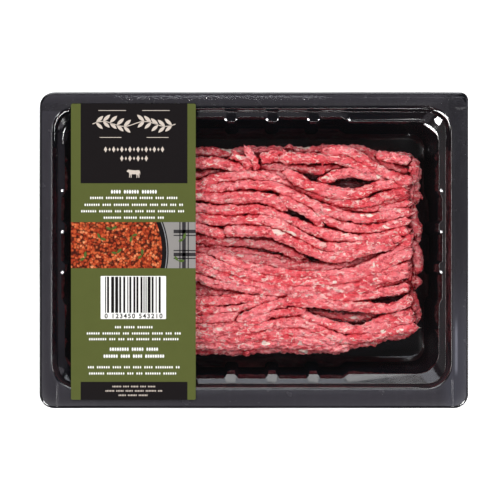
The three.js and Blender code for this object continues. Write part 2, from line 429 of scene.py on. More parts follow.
def black_plastic(name, wave):
    """Thermoformed black sheet: wave is how far its surface ripples. Its colour carries painted
    reflections, highlights and shade in the well and on the flange.
    """
    finish = Finish(name)
    step, mix, cloud = finish.step, finish.mix, finish.cloud
    across, up, level = (finish.axis(axis) for axis in "XYZ")
    flange = step(outside_mouth(finish), 0.35, 0.7)
    rim = step(outside(finish, (0, 0), PACK_HALF, PACK_CORNER), -1.4, -0.8)
    streaks = cloud(38, detail=3, along=(0.45, 1.6, 1))
    # The well: dark with streaks, with painted reflections of the meat and a painted highlight
    colour = mix(streaks, (0.0022, 0.0025, 0.0046), (0.0046, 0.005, 0.0085))
    # Painted reddish reflection of the meat on the right of the well
    colour = mix(step(across, 55, 78) * 0.6, colour, (0.0125, 0.0075, 0.009))
    # Painted grey highlight on the left ledge
    ledge = step(across, -86.4, -85.8) * step(across, -81.2, -82.4) * step(abs(up), 56, 50)
    colour = mix(ledge * (0.4 + 0.6 * streaks), colour, (0.034, 0.031, 0.038))
    # Painted reddish reflection of the meat on the near upper wall
    wall = step(level, 29.2, 30.2) * step(level, 34.9, 34.2)
    colour = mix(wall * step(up, -40, -50), colour, (0.03, 0.021, 0.025))
    # The flange: its own grey tone, brushed and with small pale specks, plus painted shade at the far right
    # and along its inner edge at the far side, a painted sheen at the near right and a painted highlight
    # streak near its right edge
    flange_tone_and_light = mix(streaks, (0.021, 0.019, 0.0245), (0.035, 0.032, 0.0405))
    right = step(across, 80, 86)
    # Painted shade on the right flange
    flange_tone_and_light = mix(right * step(up, -40, 15), flange_tone_and_light, (0.013, 0.012, 0.0158))
    # Painted sheen at the near end of the right flange
    flange_tone_and_light = mix(right * step(up, -5, -45) * 0.65, flange_tone_and_light, (0.05, 0.05, 0.066))
    # Painted shade along the inner edge of the far flange
    inner = step(up, 60, 61) * step(up, 66.5, 62.5)
    flange_tone_and_light = mix(inner * 0.7, flange_tone_and_light, (0.012, 0.0105, 0.014))
    brushed = cloud(3.2, detail=3, along=(1, 0.2, 1)) - 0.5
    # Painted highlight: a pale streak of reflected light along the right flange
    pale = step(abs(across - 88.1), 1.0, 0.1) * step(up, -27, -38) * step(up, -55.5, -51)
    flange_tone_and_light = mix(pale * (0.55 + brushed), flange_tone_and_light, (0.26, 0.26, 0.31))
    flange_tone_and_light = mix(brushed.most(0.0) * 0.5, flange_tone_and_light, (0.07, 0.066, 0.078))
    worn = step(cloud(1.1, detail=3, along=(0.8, 1, 1)), 0.7, 0.76)
    flange_tone_and_light = mix(worn * 0.45, flange_tone_and_light, (0.14, 0.14, 0.15))
    colour = mix(flange, colour, flange_tone_and_light)
    finish.set(base_color=mix(rim, colour, (0.003, 0.003, 0.005)))
    dull = flange * (1.0 - rim)
    low = step(level, 14, 7)
    finish.set(roughness=0.06 + 0.18 * dull + 0.05 * cloud(4.5) + 0.1 * low, specular_ior_level=0.75)
    # The lines that the sealing tool has pressed into the flange
    press = step(abs(across - 86.4), 0.5, 0.1) * step(up, -55, -57)
    press = press.most(step(abs(across + 85.6), 0.5, 0.1) * step(up, -57, -59))
    press = press.most(step(abs(up - 61.8), 0.4, 0.1) * step(across, 87.5, 88.5))
    press = press.most(step(abs(up - 66.2), 0.5, 0.1) * step(across, 20, 60) * 0.2)
    ripple = cloud(12, along=(0.7, 1, 0.6)) + 0.2 * dull * cloud(1.6, detail=1)
    finish.relief(ripple * wave + press * 1.5, 0.1)
    return finish.material


def clear_film():
    finish = Finish("clear_lidding_film")
    sealed = finish.step(outside_mouth(finish), 0.0, 0.8)
    ripple = finish.cloud(26, along=(1, 1.5, 1))
    crinkle = finish.cloud(1.7, detail=3, along=(0.5, 1.4, 1), warp=0.6)
    far_weld = finish.step(abs(finish.axis("Y") - 66.0), 1.5, 0.2)
    far_weld = far_weld * finish.step(abs(finish.axis("X") + 14.0), 52, 40)
    pinch = far_weld * finish.cloud(0.8, detail=3, along=(0.35, 1, 1), warp=1.0)
    waves = finish.bump(ripple * 0.5 + crinkle * sealed * 0.14 + pinch * 0.5, 0.5)
    white = (1, 1, 1, 1)
    gloss = finish.add("BsdfGlossy", inputs={"Color": white, "Roughness": 0.06, "Normal": waves})
    clear = finish.add("BsdfTransparent", inputs={"Color": white})
    facing = finish.add("LayerWeight", inputs={"Blend": 0.5}, output="Facing")
    mixed = finish.add("MixShader", inputs={0: 0.02 + 0.6 * facing ** 4.0, 1: clear, 2: gloss})
    finish.feed(finish.output.inputs["Surface"], mixed)
    finish.tree.nodes.remove(finish.shader)
    return finish.material


def raw_meat(name, painted_shade):
    """Raw mince; the second argument is the share by which it is darkened all over, as painted shade."""
    finish = Finish(name)
    step, mix, cloud = finish.step, finish.mix, finish.cloud
    grain = (0.6, 1.0, 1.0)
    patches = cloud(7.0, along=grain, warp=0.6)
    lean = mix(step(patches, 0.36, 0.64), srgb(236, 78, 88), srgb(255, 132, 138))
    fine = cloud(1.9, detail=3, roughness=0.7, along=grain)
    lean = mix(step(fine, 0.51, 0.64) * 0.8, lean, srgb(255, 186, 182))
    dark = step(cloud(2.2, detail=3, roughness=0.7, along=grain), 0.53, 0.64)
    lean = mix(dark * 0.8, lean, srgb(190, 46, 58))
    speck = cloud(2.1, detail=3, roughness=0.65, along=grain, warp=0.9)
    flesh = mix(step(speck, 0.58, 0.64) * 0.85, lean, srgb(255, 212, 202))
    lump = cloud(4.2, detail=1, along=grain, warp=0.4)
    flesh = mix(step(lump, 0.7, 0.735) * 0.9, flesh, srgb(255, 236, 222))
    # Painted shade: the meat turns deep red and dark towards creases and hollows, the more the surface is
    # enclosed
    crease, hollow = finish.openness(3.0), finish.openness(9.0)
    flesh = mix(step(hollow, 0.62, 0.3) * 0.6, flesh, srgb(128, 18, 32))
    flank = mix(step(crease, 0.08, 0.5), srgb(118, 0, 8), srgb(186, 12, 28))
    colour = mix(step(crease, 0.34, 0.86), flank, flesh)
    # Painted shade: the whole surface darkened towards dark maroon by that share
    finish.set(base_color=mix(painted_shade, colour, srgb(66, 4, 12)))
    finish.set(roughness=0.08 + 0.32 * fine, specular_ior_level=0.42)
    finish.set(subsurface_weight=0.22, subsurface_scale=1.0, subsurface_radius=(0.0016, 0.0004, 0.0003))
    grains = step(finish.cells(1.25, grain), 0.7, 0.1)
    finish.relief(grains * 0.9 + fine * 0.9 + cloud(0.8) * 0.4, 0.85)
    return finish.material


INKS = {
    "green_ink": (seen(94, 101, 50),),
    "black_ink": (seen(22, 17, 18),),
    "white_ink": ((0.95, 0.94, 0.9), 0.02),
    "cream_ink": (seen(228, 214, 200), 0.03),
    "grey_ink": (seen(150, 150, 152),),
    "linen_ink": (seen(158, 154, 150),),
    "charcoal_ink": (seen(58, 55, 57),),
    "herb_ink": (seen(86, 110, 48),),
}


def print_ink(name, colour, spread=0.05):
    """Ink on a satin label: even, with the faintest mottle and paper grain."""
    finish = Finish(name)
    low = tuple(value * (1 - spread) for value in colour)
    high = tuple(min(1.0, value * (1 + spread)) for value in colour)
    finish.set(base_color=finish.mix(finish.cloud(5, detail=3), low, high))
    finish.set(roughness=0.42 + 0.06 * finish.cloud(2), specular_ior_level=INK_GLOSS)
    finish.relief(finish.cloud(0.5), 0.01)
    return finish.material


def stew_ink():
    """The picture field's ground: browned crumbs in a pan, printed."""
    finish = Finish("picture_ink")
    shake = {"Vector": finish.place(), "Scale": 900.0, "Detail": 2.0}
    shake = finish.add("TexNoise", inputs=shake, output="Color")
    shaken = {0: shake, 1: (0.0011, 0.0011, 0.0), 2: finish.stretched((1, 1, 0))}
    crumbs = {"Vector": finish.add("VectorMath", {"operation": "MULTIPLY_ADD"}, shaken), "Scale": 860.0}
    edge = finish.step(finish.add("TexVoronoi", inputs=crumbs), 0.4, 0.75)
    tone = finish.add("TexVoronoi", inputs=crumbs, output="Color")
    tone = finish.add("SeparateColor", inputs={0: tone}, output=0)
    small = finish.cloud(0.8, along=(1, 1, 0))
    heap = finish.cloud(5.0, along=(1, 1, 0))
    browns = ((0.0, (78, 18, 6)), (0.3, (158, 52, 24)), (0.62, (206, 94, 50)), (1.0, (255, 190, 136)))
    stops = [(place, srgb(*brown)) for place, brown in browns]
    body = finish.add("ValToRGB", {"stops": stops}, {0: tone * 0.6 + small * 0.6 + heap * 0.5 - 0.42})
    finish.set(base_color=finish.mix(edge * 0.9, body, srgb(40, 9, 4)))
    finish.set(roughness=0.46, specular_ior_level=INK_GLOSS)
    finish.relief(finish.cloud(0.5), 0.01)
    return finish.material


def floor_finish():
    finish = Finish("pale_floor")
    colour = finish.mix(finish.cloud(120), (0.9, 0.9, 0.9), (0.93, 0.93, 0.93))
    finish.set(base_color=colour, emission_color=colour, emission_strength=0.6)
    finish.set(roughness=0.8, specular_ior_level=0.2)
    return finish.material


# Tray

def stop_places(kind):
    """Where a side has its corners of recess and ribs: [place, share of the recess there]."""
    edge = RECESS_HALF[kind]
    stops = [(-edge, 0), (-edge + RECESS_SLANT, 1)]
    for place in RIB_PLACES[kind]:
        stops += [(place - RIB_BASE / 2, 1), (place - RIB_CREST / 2, 0)]
        stops += [(place + RIB_CREST / 2, 0), (place + RIB_BASE / 2, 1)]
    return stops + [(edge - RECESS_SLANT, 1), (edge, 0)]


class Wall:
    """The open rim of the tray as it is drawn up from its floor, ring by ring."""

    def __init__(self, half, corner, height):
        self.half = list(half)
        self.corner = corner
        self.height = height
        self.centre = list(WELL_CENTRE)
        self.depth = 0.0
        self.ring = []

    def rise(self, half, corner, height, centre=None):
        """Draws the rim on to a new size, corner and height."""
        lift = (0, 0, (height - self.height) * MM)
        bpy.ops.mesh.extrude_edges_move(TRANSFORM_OT_translate={"value": lift})
        self.ring = selected_points()
        centre = centre or self.centre
        shift = [centre[0] - self.centre[0], centre[1] - self.centre[1]]
        for axis in (0, 1):
            grow = half[axis] - self.half[axis]
            far = self.half[axis] * 0.72
            for sign in (-1, 1):
                offset = [0, 0, 0]
                offset[axis] = sign * grow + shift[axis]
                middle = self.centre[axis]
                if choose(self.ring, lambda place: (place[axis] - middle) * sign > far):
                    move(offset)
        self.half, self.height, self.centre = list(half), height, list(centre)
        self.turn_corners(corner)
        choose(self.ring)

    def turn_corners(self, corner):
        factor = corner / self.corner
        for across in (-1, 1):
            for up in (-1, 1):
                tip = (self.centre[0] + across * self.half[0], self.centre[1] + up * self.half[1])
                reach = self.corner + 0.05

                def in_corner(place):
                    return (tip[0] - place.x) * across < reach and (tip[1] - place.y) * up < reach

                choose(self.ring, in_corner)
                at = (tip[0] * MM, tip[1] * MM, self.height * MM)
                bpy.ops.transform.resize(value=(factor, factor, 1), center_override=at)
        self.corner = corner

    def recess(self, depth, slope=0.0):
        """Pushes the recessed stretches out to this share of the recess, and up by the ledge's slope."""
        change = depth - self.depth
        for axis in (0, 1):
            other = 1 - axis
            spans = [place for place, share in stop_places(axis) if share]
            for sign in (-1, 1):

                def in_recess(place):
                    along = place[axis] - self.centre[axis]
                    out = (place[other] - self.centre[other]) * sign
                    return out > self.half[other] * 0.8 and any(abs(along - stop) < 0.05 for stop in spans)

                choose(self.ring, in_recess)
                offset = [0, 0, 0]
                offset[other] = sign * RECESS[other] * change
                move(offset)
                if slope:
                    move((0, 0, RECESS[other] * slope))
        self.depth = depth
        choose(self.ring)


def make_tray(material):
    floor = [value - WALL_DRAFT - FLOOR_FILLET for value in WALL_HALF]
    left, right = WELL_CENTRE[0] - floor[0], WELL_CENTRE[0] + floor[0]
    field = (left, right, WELL_CENTRE[1] - floor[1], WELL_CENTRE[1] + floor[1])
    piece = plane_piece("tray_body", field, SHEET)
    round_corners(FLOOR_CORNER, CORNER_SEGMENTS)
    for kind, normal in ((0, (1, 0, 0)), (1, (0, 1, 0))):
        for place, _ in stop_places(kind):
            at = [0, 0, 0]
            at[kind] = (place + WELL_CENTRE[kind]) * MM
            select_all()
            bpy.ops.mesh.bisect(plane_co=at, plane_no=normal)
    select_all()
    bpy.ops.mesh.remove_doubles(threshold=0.01 * MM)
    select_all()
    bpy.ops.mesh.region_to_loop()
    wall = Wall(floor, FLOOR_CORNER, SHEET)
    for out, up, corner, share in FLOOR_RINGS:
        wall.rise([value + FLOOR_FILLET * out for value in floor], corner, SHEET + FLOOR_FILLET * up)
        wall.recess(share)
    wall.rise(WALL_HALF, WALL_CORNER, LEDGE_HEIGHT - LEDGE_SLOPE * 0.6)
    slope = LEDGE_SLOPE / (LOWER_INSET[0] - UPPER_INSET)
    wall.recess(1.0, slope)
    ledge = [value - UPPER_INSET for value in MOUTH_HALF]
    wall.rise(ledge, LEDGE_CORNER, LEDGE_HEIGHT + LEDGE_SLOPE * 0.4)
    wall.recess(0.0, -slope)
    for grow, drop in MOUTH_RINGS:
        mouth = (MOUTH_HALF[0] + grow + 0.3, MOUTH_HALF[1] + grow)
        wall.rise(mouth, MOUTH_CORNER + grow, TRAY_HEIGHT - drop)
    lip = [value - LIP_WIDTH for value in PACK_HALF]
    wall.rise(lip, PACK_CORNER - LIP_WIDTH * 0.7, TRAY_HEIGHT, centre=(0, 0))
    lip = [value - LIP_WIDTH * 0.3 for value in PACK_HALF]
    wall.rise(lip, PACK_CORNER - 0.2, TRAY_HEIGHT - LIP_DROP * 0.3)
    wall.rise(PACK_HALF, PACK_CORNER, TRAY_HEIGHT - LIP_DROP)
    turn_outwards()
    if piece.data.polygons[0].normal.z < 0:
        piece.data.flip_normals()
    rounding = {"limit_method": "ANGLE", "angle_limit": math.radians(24), "segments": 3}
    apply_modifier(piece, "BEVEL", "rounded_edges", width=EDGE_ROUND * MM, **rounding)
    thicken(piece, SHEET)
    settle_sheet(piece)
    smooth(piece, 50)
    finish_piece(piece, "tray", material)


def half_way(lamp, place):
    """The direction in which a facet at this place, in millimetres, mirrors the lamp to the camera."""
    to_lamp = Vector(lamp) / MM - place
    to_camera = Vector((*CAMERA_OFF, CAMERA_HEIGHT + TRAY_HEIGHT)) - place
    return (to_lamp.normalized() + to_camera.normalized()).normalized()


def make_rib_corners(material):
    """The small flat facets that the drawn sheet has where its ribs and recesses run into the ledge."""
    places = [(RECESS_HALF[0] + 0.2, WALL_HALF[1] + 0.9, FRONT_LEFT, 0.62)]
    for rib in RIB_PLACES[0]:
        for side, lamp, size in ((-1, FRONT_LEFT, 0.62), (1, FRONT_RIGHT, 0.34)):
            places.append((rib + side * 2.3, WALL_HALF[1] + 0.9, lamp, size))
    for rib in (*RIB_PLACES[1], RECESS_HALF[1] + 1.9):
        for side, lamp in ((1, FRONT_LEFT), (-1, FRONT_RIGHT)):
            places.append((side * (WALL_HALF[0] + 1.1), rib - 1.9, lamp, 0.66))
    facets = Tubes()
    for across, up, lamp, size in places:
        centre = Vector((WELL_CENTRE[0] + across, WELL_CENTRE[1] + up, LEDGE_HEIGHT - 0.1))
        normal = half_way(lamp, centre)
        side = normal.cross((0, 0, 1)).normalized()
        down = normal.cross(side)
        rings = []
        for level, reach in ((-0.7, size + 0.2), (0.0, size)):
            turns = [step / FACET_SIDES * math.tau for step in range(FACET_SIDES)]
            outs = [side * math.cos(turn) + down * math.sin(turn) * 0.8 for turn in turns]
            rings.append([centre + out * reach + normal * level for out in outs])
        facets.add(rings)
    faceted_piece("tray_rib_corners", facets, material)


def faceted_piece(name, tubes, material):
    piece = tubes.outward_piece(name)
    smooth(piece, 40)
    finish_piece(piece, "tray", material)


# A strip's section: the side and the height of each corner
STRIP_CORNERS = ((-1, 0.1), (1, 0.1), (1, -0.35), (-1, -0.35))
# The strips: the lamp that each mirrors, its height, then places (x, y) and width there, in millimetres
GLINT_STRIPS = [
    (FRONT_LEFT, 35.05, [
        (77.96, 61.13, 0.03), (80.22, 60.52, 0.35), (81.92, 59.65, 0.66), (83.44, 58.34, 0.7),
        (84.49, 56.86, 0.39), (85.27, 54.73, 0.09), (85.45, 52.34, 0.03),
    ]),
    (FRONT_LEFT, 28.95, [
        (80.15, 55.78, 3.58), (81.81, 58.06, 2.53),
    ]),
    (FRONT_LEFT, 27.8, [
        (74.91, 55.69, 0.2), (75.7, 55.34, 0.74), (77.24, 54.37, 1.09),
        (78.78, 53.18, 1.14), (80.15, 51.86, 0.66), (80.94, 50.24, 0.11), (81.2, 48.48, 0.03),
    ]),
    (FRONT_RIGHT, 35.05, [
        (-87.02, 47.11, 0.02), (-86.89, 53.95, 0.09), (-85.62, 57.3, 0.15), (-82.75, 60.08, 0.17),
        (-79.62, 61.08, 0.13), (-75.7, 61.39, 0.09),
    ]),
    (FRONT_RIGHT, 29.3, [
        (-84.03, 45.74, 0.03), (-83.94, 49.25, 0.13), (-83.37, 52.19, 0.26), (-82.01, 54.7, 0.35),
        (-79.38, 56.1, 0.26),
    ]),
    (FRONT_RIGHT, 28.2, [
        (-82.93, 47.57, 0.22), (-82.23, 49.77, 0.48), (-81.43, 51.26, 0.66), (-79.72, 53.02, 0.66),
    ]),
    (FRONT_SOFTBOX, 35.05, [
        (-29.99, 61.87, 0.05), (-6.05, 61.87, 0.06), (20.06, 61.87, 0.08), (46.18, 61.82, 0.1),
        (63.59, 61.78, 0.2), (72.3, 61.65, 0.22), (76.65, 61.39, 0.13),
    ]),
    (FRONT_SOFTBOX, 27.9, [
        (43.15, 57.31, 0.05), (57.66, 57.44, 0.09), (65.14, 57.62, 0.17), (69.98, 57.71, 0.39),
        (72.18, 57.66, 0.22), (75.25, 57.31, 0.05),
    ]),
    (BACK_SOFTBOX, 35.05, [
        (-29.99, -59.97, 0.22), (-6.05, -59.97, 0.26), (20.06, -59.97, 0.26), (46.18, -59.97, 0.26),
        (63.59, -59.93, 0.26), (72.3, -59.75, 0.13),
    ]),
]


def tilt_run(lamp, places):
    """Sets a strip's heights, from its middle on, so that its own plane mirrors the lamp."""
    middle = len(places) // 2
    for i in (*range(middle - 1, -1, -1), *range(middle + 1, len(places))):
        near = places[i - 1 if i > middle else i + 1]
        normal = half_way(lamp, near)
        places[i].z = near.z - (places[i] - near).xy.dot(normal.xy) / normal.z


def make_glint_strips(material):
    """The taut strips along the tray's edges, where the drawn sheet turns over more widely."""
    strips = Tubes()
    for lamp, height, run in GLINT_STRIPS:
        places = [Vector((x, y, height)) for x, y, _ in run]
        if lamp in (FRONT_LEFT, FRONT_RIGHT):
            tilt_run(lamp, places)
        rings = []
        for i, (_, _, width) in enumerate(run):
            before, after = places[max(0, i - 1)], places[min(len(run) - 1, i + 1)]
            normal = half_way(lamp, places[i])
            out = normal.cross(after - before).normalized() * width / 2
            rings.append([places[i] + out * side + normal * lift for side, lift in STRIP_CORNERS])
        strips.add(rings)
    faceted_piece("tray_edge_strips", strips, material)


def far_right_corner(across, up):
    """The pack's outline turns more tightly at its far right corner than at the others."""
    pivot = (PACK_HALF[0] - PACK_CORNER, PACK_HALF[1] - PACK_CORNER)
    out = (across - pivot[0], up - pivot[1])
    reach = math.hypot(*out)
    if min(out) <= 0:
        return across, up
    turn = (out[0] / reach, out[1] / reach)
    inset = PACK_CORNER - TIGHT_CORNER
    middle = inset * (turn[0] + turn[1])
    if min(turn) * PACK_CORNER < max(turn) * inset:
        edge = PACK_CORNER / max(turn)
    else:
        edge = middle + math.sqrt(max(0.0, middle ** 2 - 2 * inset ** 2 + TIGHT_CORNER ** 2))
    grow = 1 + (edge / PACK_CORNER - 1) * min(1.0, reach / PACK_CORNER) ** 2
    return pivot[0] + out[0] * grow, pivot[1] + out[1] * grow


def rim_share(across, up):
    """0 over the pack, rising to 1 at its outline."""
    edge = max(abs(across) / PACK_HALF[0], abs(up) / PACK_HALF[1])
    return max(0.0, (edge - RIM_START) / (1 - RIM_START))


def settle_sheet(piece):
    """The slight waviness of drawn sheet and of a rim cut by a worn die."""
    for point in piece.data.vertices:
        place = point.co / MM
        wave = 0.5 + 0.5 * noise.noise(Vector((place.x / 34, place.y / 34, 3.1)))
        pull = 1 - rim_share(place.x, place.y) * wave * 0.003
        across, up = far_right_corner(place.x, place.y)
        ripple = 0.0
        if SHEET * 1.5 < place.z < TRAY_HEIGHT - 1:
            ripple = 0.1 * noise.noise(Vector((place.x / 15, place.y / 15, place.z / 9)))
        point.co.x = (across * pull + ripple) * MM
        point.co.y = (up * pull + ripple) * MM


# Film

def round_off(place, half, corner):
    """Brings a point of a rectangle into the same rectangle with rounded corners."""
    over = [abs(place[axis]) - (half[axis] - corner) for axis in (0, 1)]
    if min(over) <= 0:
        return place
    scale = max(over) / math.hypot(*over)
    signs = [math.copysign(1, place[axis]) for axis in (0, 1)]
    return [signs[axis] * (half[axis] - corner + over[axis] * scale) for axis in (0, 1)]


def make_film(material):
    start_clean()
    bpy.ops.mesh.primitive_grid_add(x_subdivisions=150, y_subdivisions=110, size=1)
    piece = named("lidding_film")
    for point in piece.data.vertices:
        flat = [point.co.x * 2 * PACK_HALF[0], point.co.y * 2 * PACK_HALF[1]]
        across, up = far_right_corner(*round_off(flat, PACK_HALF, PACK_CORNER))
        out = (abs(across - WELL_CENTRE[0]) / MOUTH_HALF[0], abs(up - WELL_CENTRE[1]) / MOUTH_HALF[1])
        slack = min(1.0, max(0.0, 1 - max(out)) * 7)
        wave = noise.noise(Vector((across / 22, up / 14, 0.4))) * 0.8 - 0.3
        lift = FILM_HEIGHT + slack * FILM_SAG * wave - 0.18
        pull = 1 - rim_share(across, up) * 0.002
        point.co = (across * pull * MM, up * pull * MM, lift * MM)
    thicken(piece, FILM_SHEET, offset=1.0)
    smooth(piece, 60)
    finish_piece(piece, "film", material)


# Label

def plate(name, field, height, thickness, corner, node, material):
    piece = plane_piece(name, field, height)
    if corner:
        round_corners(corner, 5)
    select_all()
    bpy.ops.mesh.extrude_region_move(TRANSFORM_OT_translate={"value": (0, 0, thickness * MM)})
    turn_outwards()
    finish_piece(piece, node, material)


def turning(shape):
    """Positive for a shape whose corners go round anticlockwise."""
    return sum(x0 * y1 - x1 * y0 for (x0, y0), (x1, y1) in zip(shape, shape[1:] + shape[:1]))


def ink_shapes(name, shapes, height, material):
    """Flat printed shapes in one mesh: each is a list of its corners in millimetres."""
    inked = Tubes()
    for shape in shapes:
        shape = shape[::-1] if turning(shape) > 0 else shape
        inked.add([[(x, y, level) for x, y in shape] for level in (height, height + INK_LIFT)])
    finish_piece(inked.piece(name), None, material)


def block(left, right, bottom, top):
    return [(left, bottom), (right, bottom), (right, top), (left, top)]


def bead(left, base, wide, tall):
    """One small bead of the rows of beads, with six sides."""
    right, middle, top = left + wide, base + tall / 2, base + tall
    low, high = left + wide * BEAD_NICK, right - wide * BEAD_NICK
    return [(low, base), (high, base), (right, middle), (high, top), (low, top), (left, middle)]


def bead_row(rng, base, width, tall, bold=False):
    """A row of like beads in short groups, as an ornament where the label had a line of print."""
    shapes = []
    pitch = tall * 0.56
    wide, high = (pitch * 0.86, tall * 0.8) if bold else (pitch * 0.72, tall * 0.62)
    count = int(width / pitch)
    pause = rng.randint(3, 8)
    for i in range(count):
        if i == pause:
            pause += rng.randint(4, 9)
        else:
            shapes.append(bead(LABEL_MIDDLE - count * pitch / 2 + i * pitch, base, wide, high))
    return shapes


def lozenge_row(base, width, tall, count):
    """A row of narrow upright lozenges, every second one smaller."""
    shapes = []
    pitch = width / count
    level = base + tall / 2
    for i in range(count):
        share = 0.62 if i % 2 else 1.0
        x = LABEL_MIDDLE - width / 2 + (i + 0.5) * pitch
        out, up = pitch * 0.42 * share, tall / 2 * share
        shapes.append([(x - out, level), (x, level - up), (x + out, level), (x, level + up)])
    return shapes


def leaf(root, angle, length, width):
    """A pointed leaf of the sprig or of the herbs."""
    shape = []
    for side, steps in ((1, range(LEAF_STEPS + 1)), (-1, range(LEAF_STEPS, 0, -1))):
        for step in steps:
            share = step / LEAF_STEPS
            along = share * length
            out = side * width / 2 * math.sin(math.pi * share) ** 0.8
            x = root[0] + math.cos(angle) * along - math.sin(angle) * out
            y = root[1] + math.sin(angle) * along + math.cos(angle) * out
            shape.append((x, y))
    return shape


def stalk(points, width):
    """A thin curved line as a run of short blocks."""
    shapes = []
    for (x0, y0), (x1, y1) in zip(points, points[1:]):
        scale = width / 2 / math.hypot(x1 - x0, y1 - y0)
        nx, ny = (y0 - y1) * scale, (x1 - x0) * scale
        shapes.append([(x0 - nx, y0 - ny), (x1 - nx, y1 - ny), (x1 + nx, y1 + ny), (x0 + nx, y0 + ny)])
    return shapes


def sprig_ornament():
    """A sprig lying between thin rules, where the head panel has its emblem."""
    middle = LABEL_MIDDLE
    way = [(middle - 18 + i * 1.5, 54.9 + 1.1 * math.sin(i * 0.52)) for i in range(25)]
    shapes = stalk(way, 0.34)
    for i in (1, 3, 5, 7, 9, 15, 17, 19, 21, 23):
        lean = 0.75 if way[i][0] < middle else 2.4
        shapes.append(leaf(way[i], lean, 4.3, 1.5))
        shapes.append(leaf(way[i], -lean, 4.0, 1.4))
    for near, far, low in ((3.5, 15.5, 60.6), (5.5, 15, 48.9)):
        shapes.append(block(middle - far, middle - near, low, low + 0.25))
        shapes.append(block(middle + near, middle + far, low, low + 0.25))
    return shapes


# A plain standing ox in side view
OX_OUTLINE = [
    (-3.15, 0.55), (-3.05, 0.95), (-2.65, 1.25), (-2.6, 1.65), (-2.3, 1.32), (-1.9, 1.36), (-0.9, 1.2),
    (0.6, 1.1), (1.9, 1.2), (2.4, 1.02), (2.62, 0.5), (2.72, -0.65), (2.5, -0.75), (2.42, 0.05),
    (2.25, -0.4), (2.36, -1.1), (2.28, -2.1), (1.95, -2.1), (1.9, -1.2), (1.62, -0.7), (1.45, -1.3),
    (1.36, -2.1), (1.04, -2.1), (1.1, -1.1), (0.9, -0.55), (-0.5, -0.6), (-1, -0.5), (-1.05, -1.2),
    (-1.1, -2.1), (-1.42, -2.1), (-1.45, -1.1), (-1.6, -0.6), (-1.75, -1.2), (-1.88, -2), (-2.18, -2),
    (-2.06, -1), (-2.12, -0.1), (-2.38, 0.25), (-2.78, 0.38),
]


def arc_points(centre, radius, low, high):
    """Points of a circle between two heights, on its right side, from the low one up."""
    levels = [low + (high - low) * step / ARC_STEPS for step in range(ARC_STEPS + 1)]
    return [(centre[0] + math.sqrt(radius ** 2 - (y - centre[1]) ** 2), y) for y in levels]


def band(centre, inner, outer, low, high):
    near = arc_points(centre, inner, low, high)
    far = arc_points(centre, outer, low, high)
    return [[near[i], far[i], far[i + 1], near[i + 1]] for i in range(len(near) - 1)]


def dish_picture():
    """The picture's own flat shapes: a dark pan's rim, a striped cloth beside it and herb leaves."""
    left, right, bottom, top = PICTURE_FIELD
    centre = (left + 6.0, (bottom + top) / 2 - 3)
    cloth = [arc_points(centre, 36.4, bottom, top) + [(right, top), (right, bottom)]]
    rim = band(centre, 33.6, 36.4, bottom, top)
    glint = band(centre, 35.5, 35.9, bottom, top)
    stripes = []
    for place, wide in ((3.0, 0.5), (4.3, 1.6), (6.6, 0.5)):
        stripes.append(block(right - place - wide, right - place, bottom, top))
    for place, wide in ((4.0, 0.5), (5.2, 1.5), (7.4, 0.5), (14.0, 0.5), (15.2, 1.5)):
        stripes.append(block(right - 9.6, right, bottom + place, bottom + place + wide))
    leaves = []
    rng = random.Random(8)
    for x, y in HERB_PLACES:
        turn = rng.uniform(0, math.tau)
        leaves.append(leaf((left + x, bottom + y), turn, 2.9, 1.2))
        leaves.append(leaf((left + x, bottom + y), turn + 2.2, 2.5, 1.1))
    return cloth, stripes, rim, glint, leaves


def code_bars(rng):
    shapes = []
    place, end = CODE_SPAN
    while place < end - 0.3:
        wide = rng.choice((0.44, 0.88, 0.88, 1.32))
        shapes.append(block(place, min(end, place + wide), -27.2, -11.5))
        place += wide + rng.choice((0.44, 0.44, 0.88))
    return shapes


def code_digits(height, material):
    """A row of plain digits under the bars."""
    start_clean()
    bpy.ops.object.text_add(location=(0, 0, 0))
    piece = bpy.context.object
    settings = {"body": "0 123450 543210", "size": 2.75 * MM, "offset": 0.07 * MM, "space_character": 1.3}
    for key, value in {**settings, "align_x": "CENTER", "extrude": INK_LIFT * MM / 2}.items():
        setattr(piece.data, key, value)
    bpy.ops.object.convert(target="MESH")
    piece = named("label_code_digits")
    piece.data.transform(piece.matrix_world)
    piece.matrix_world.identity()
    for point in piece.data.vertices:
        point.co += Vector((-52.3 * MM, -29.5 * MM, (height + INK_LIFT / 2) * MM))
    finish_piece(piece, None, material)


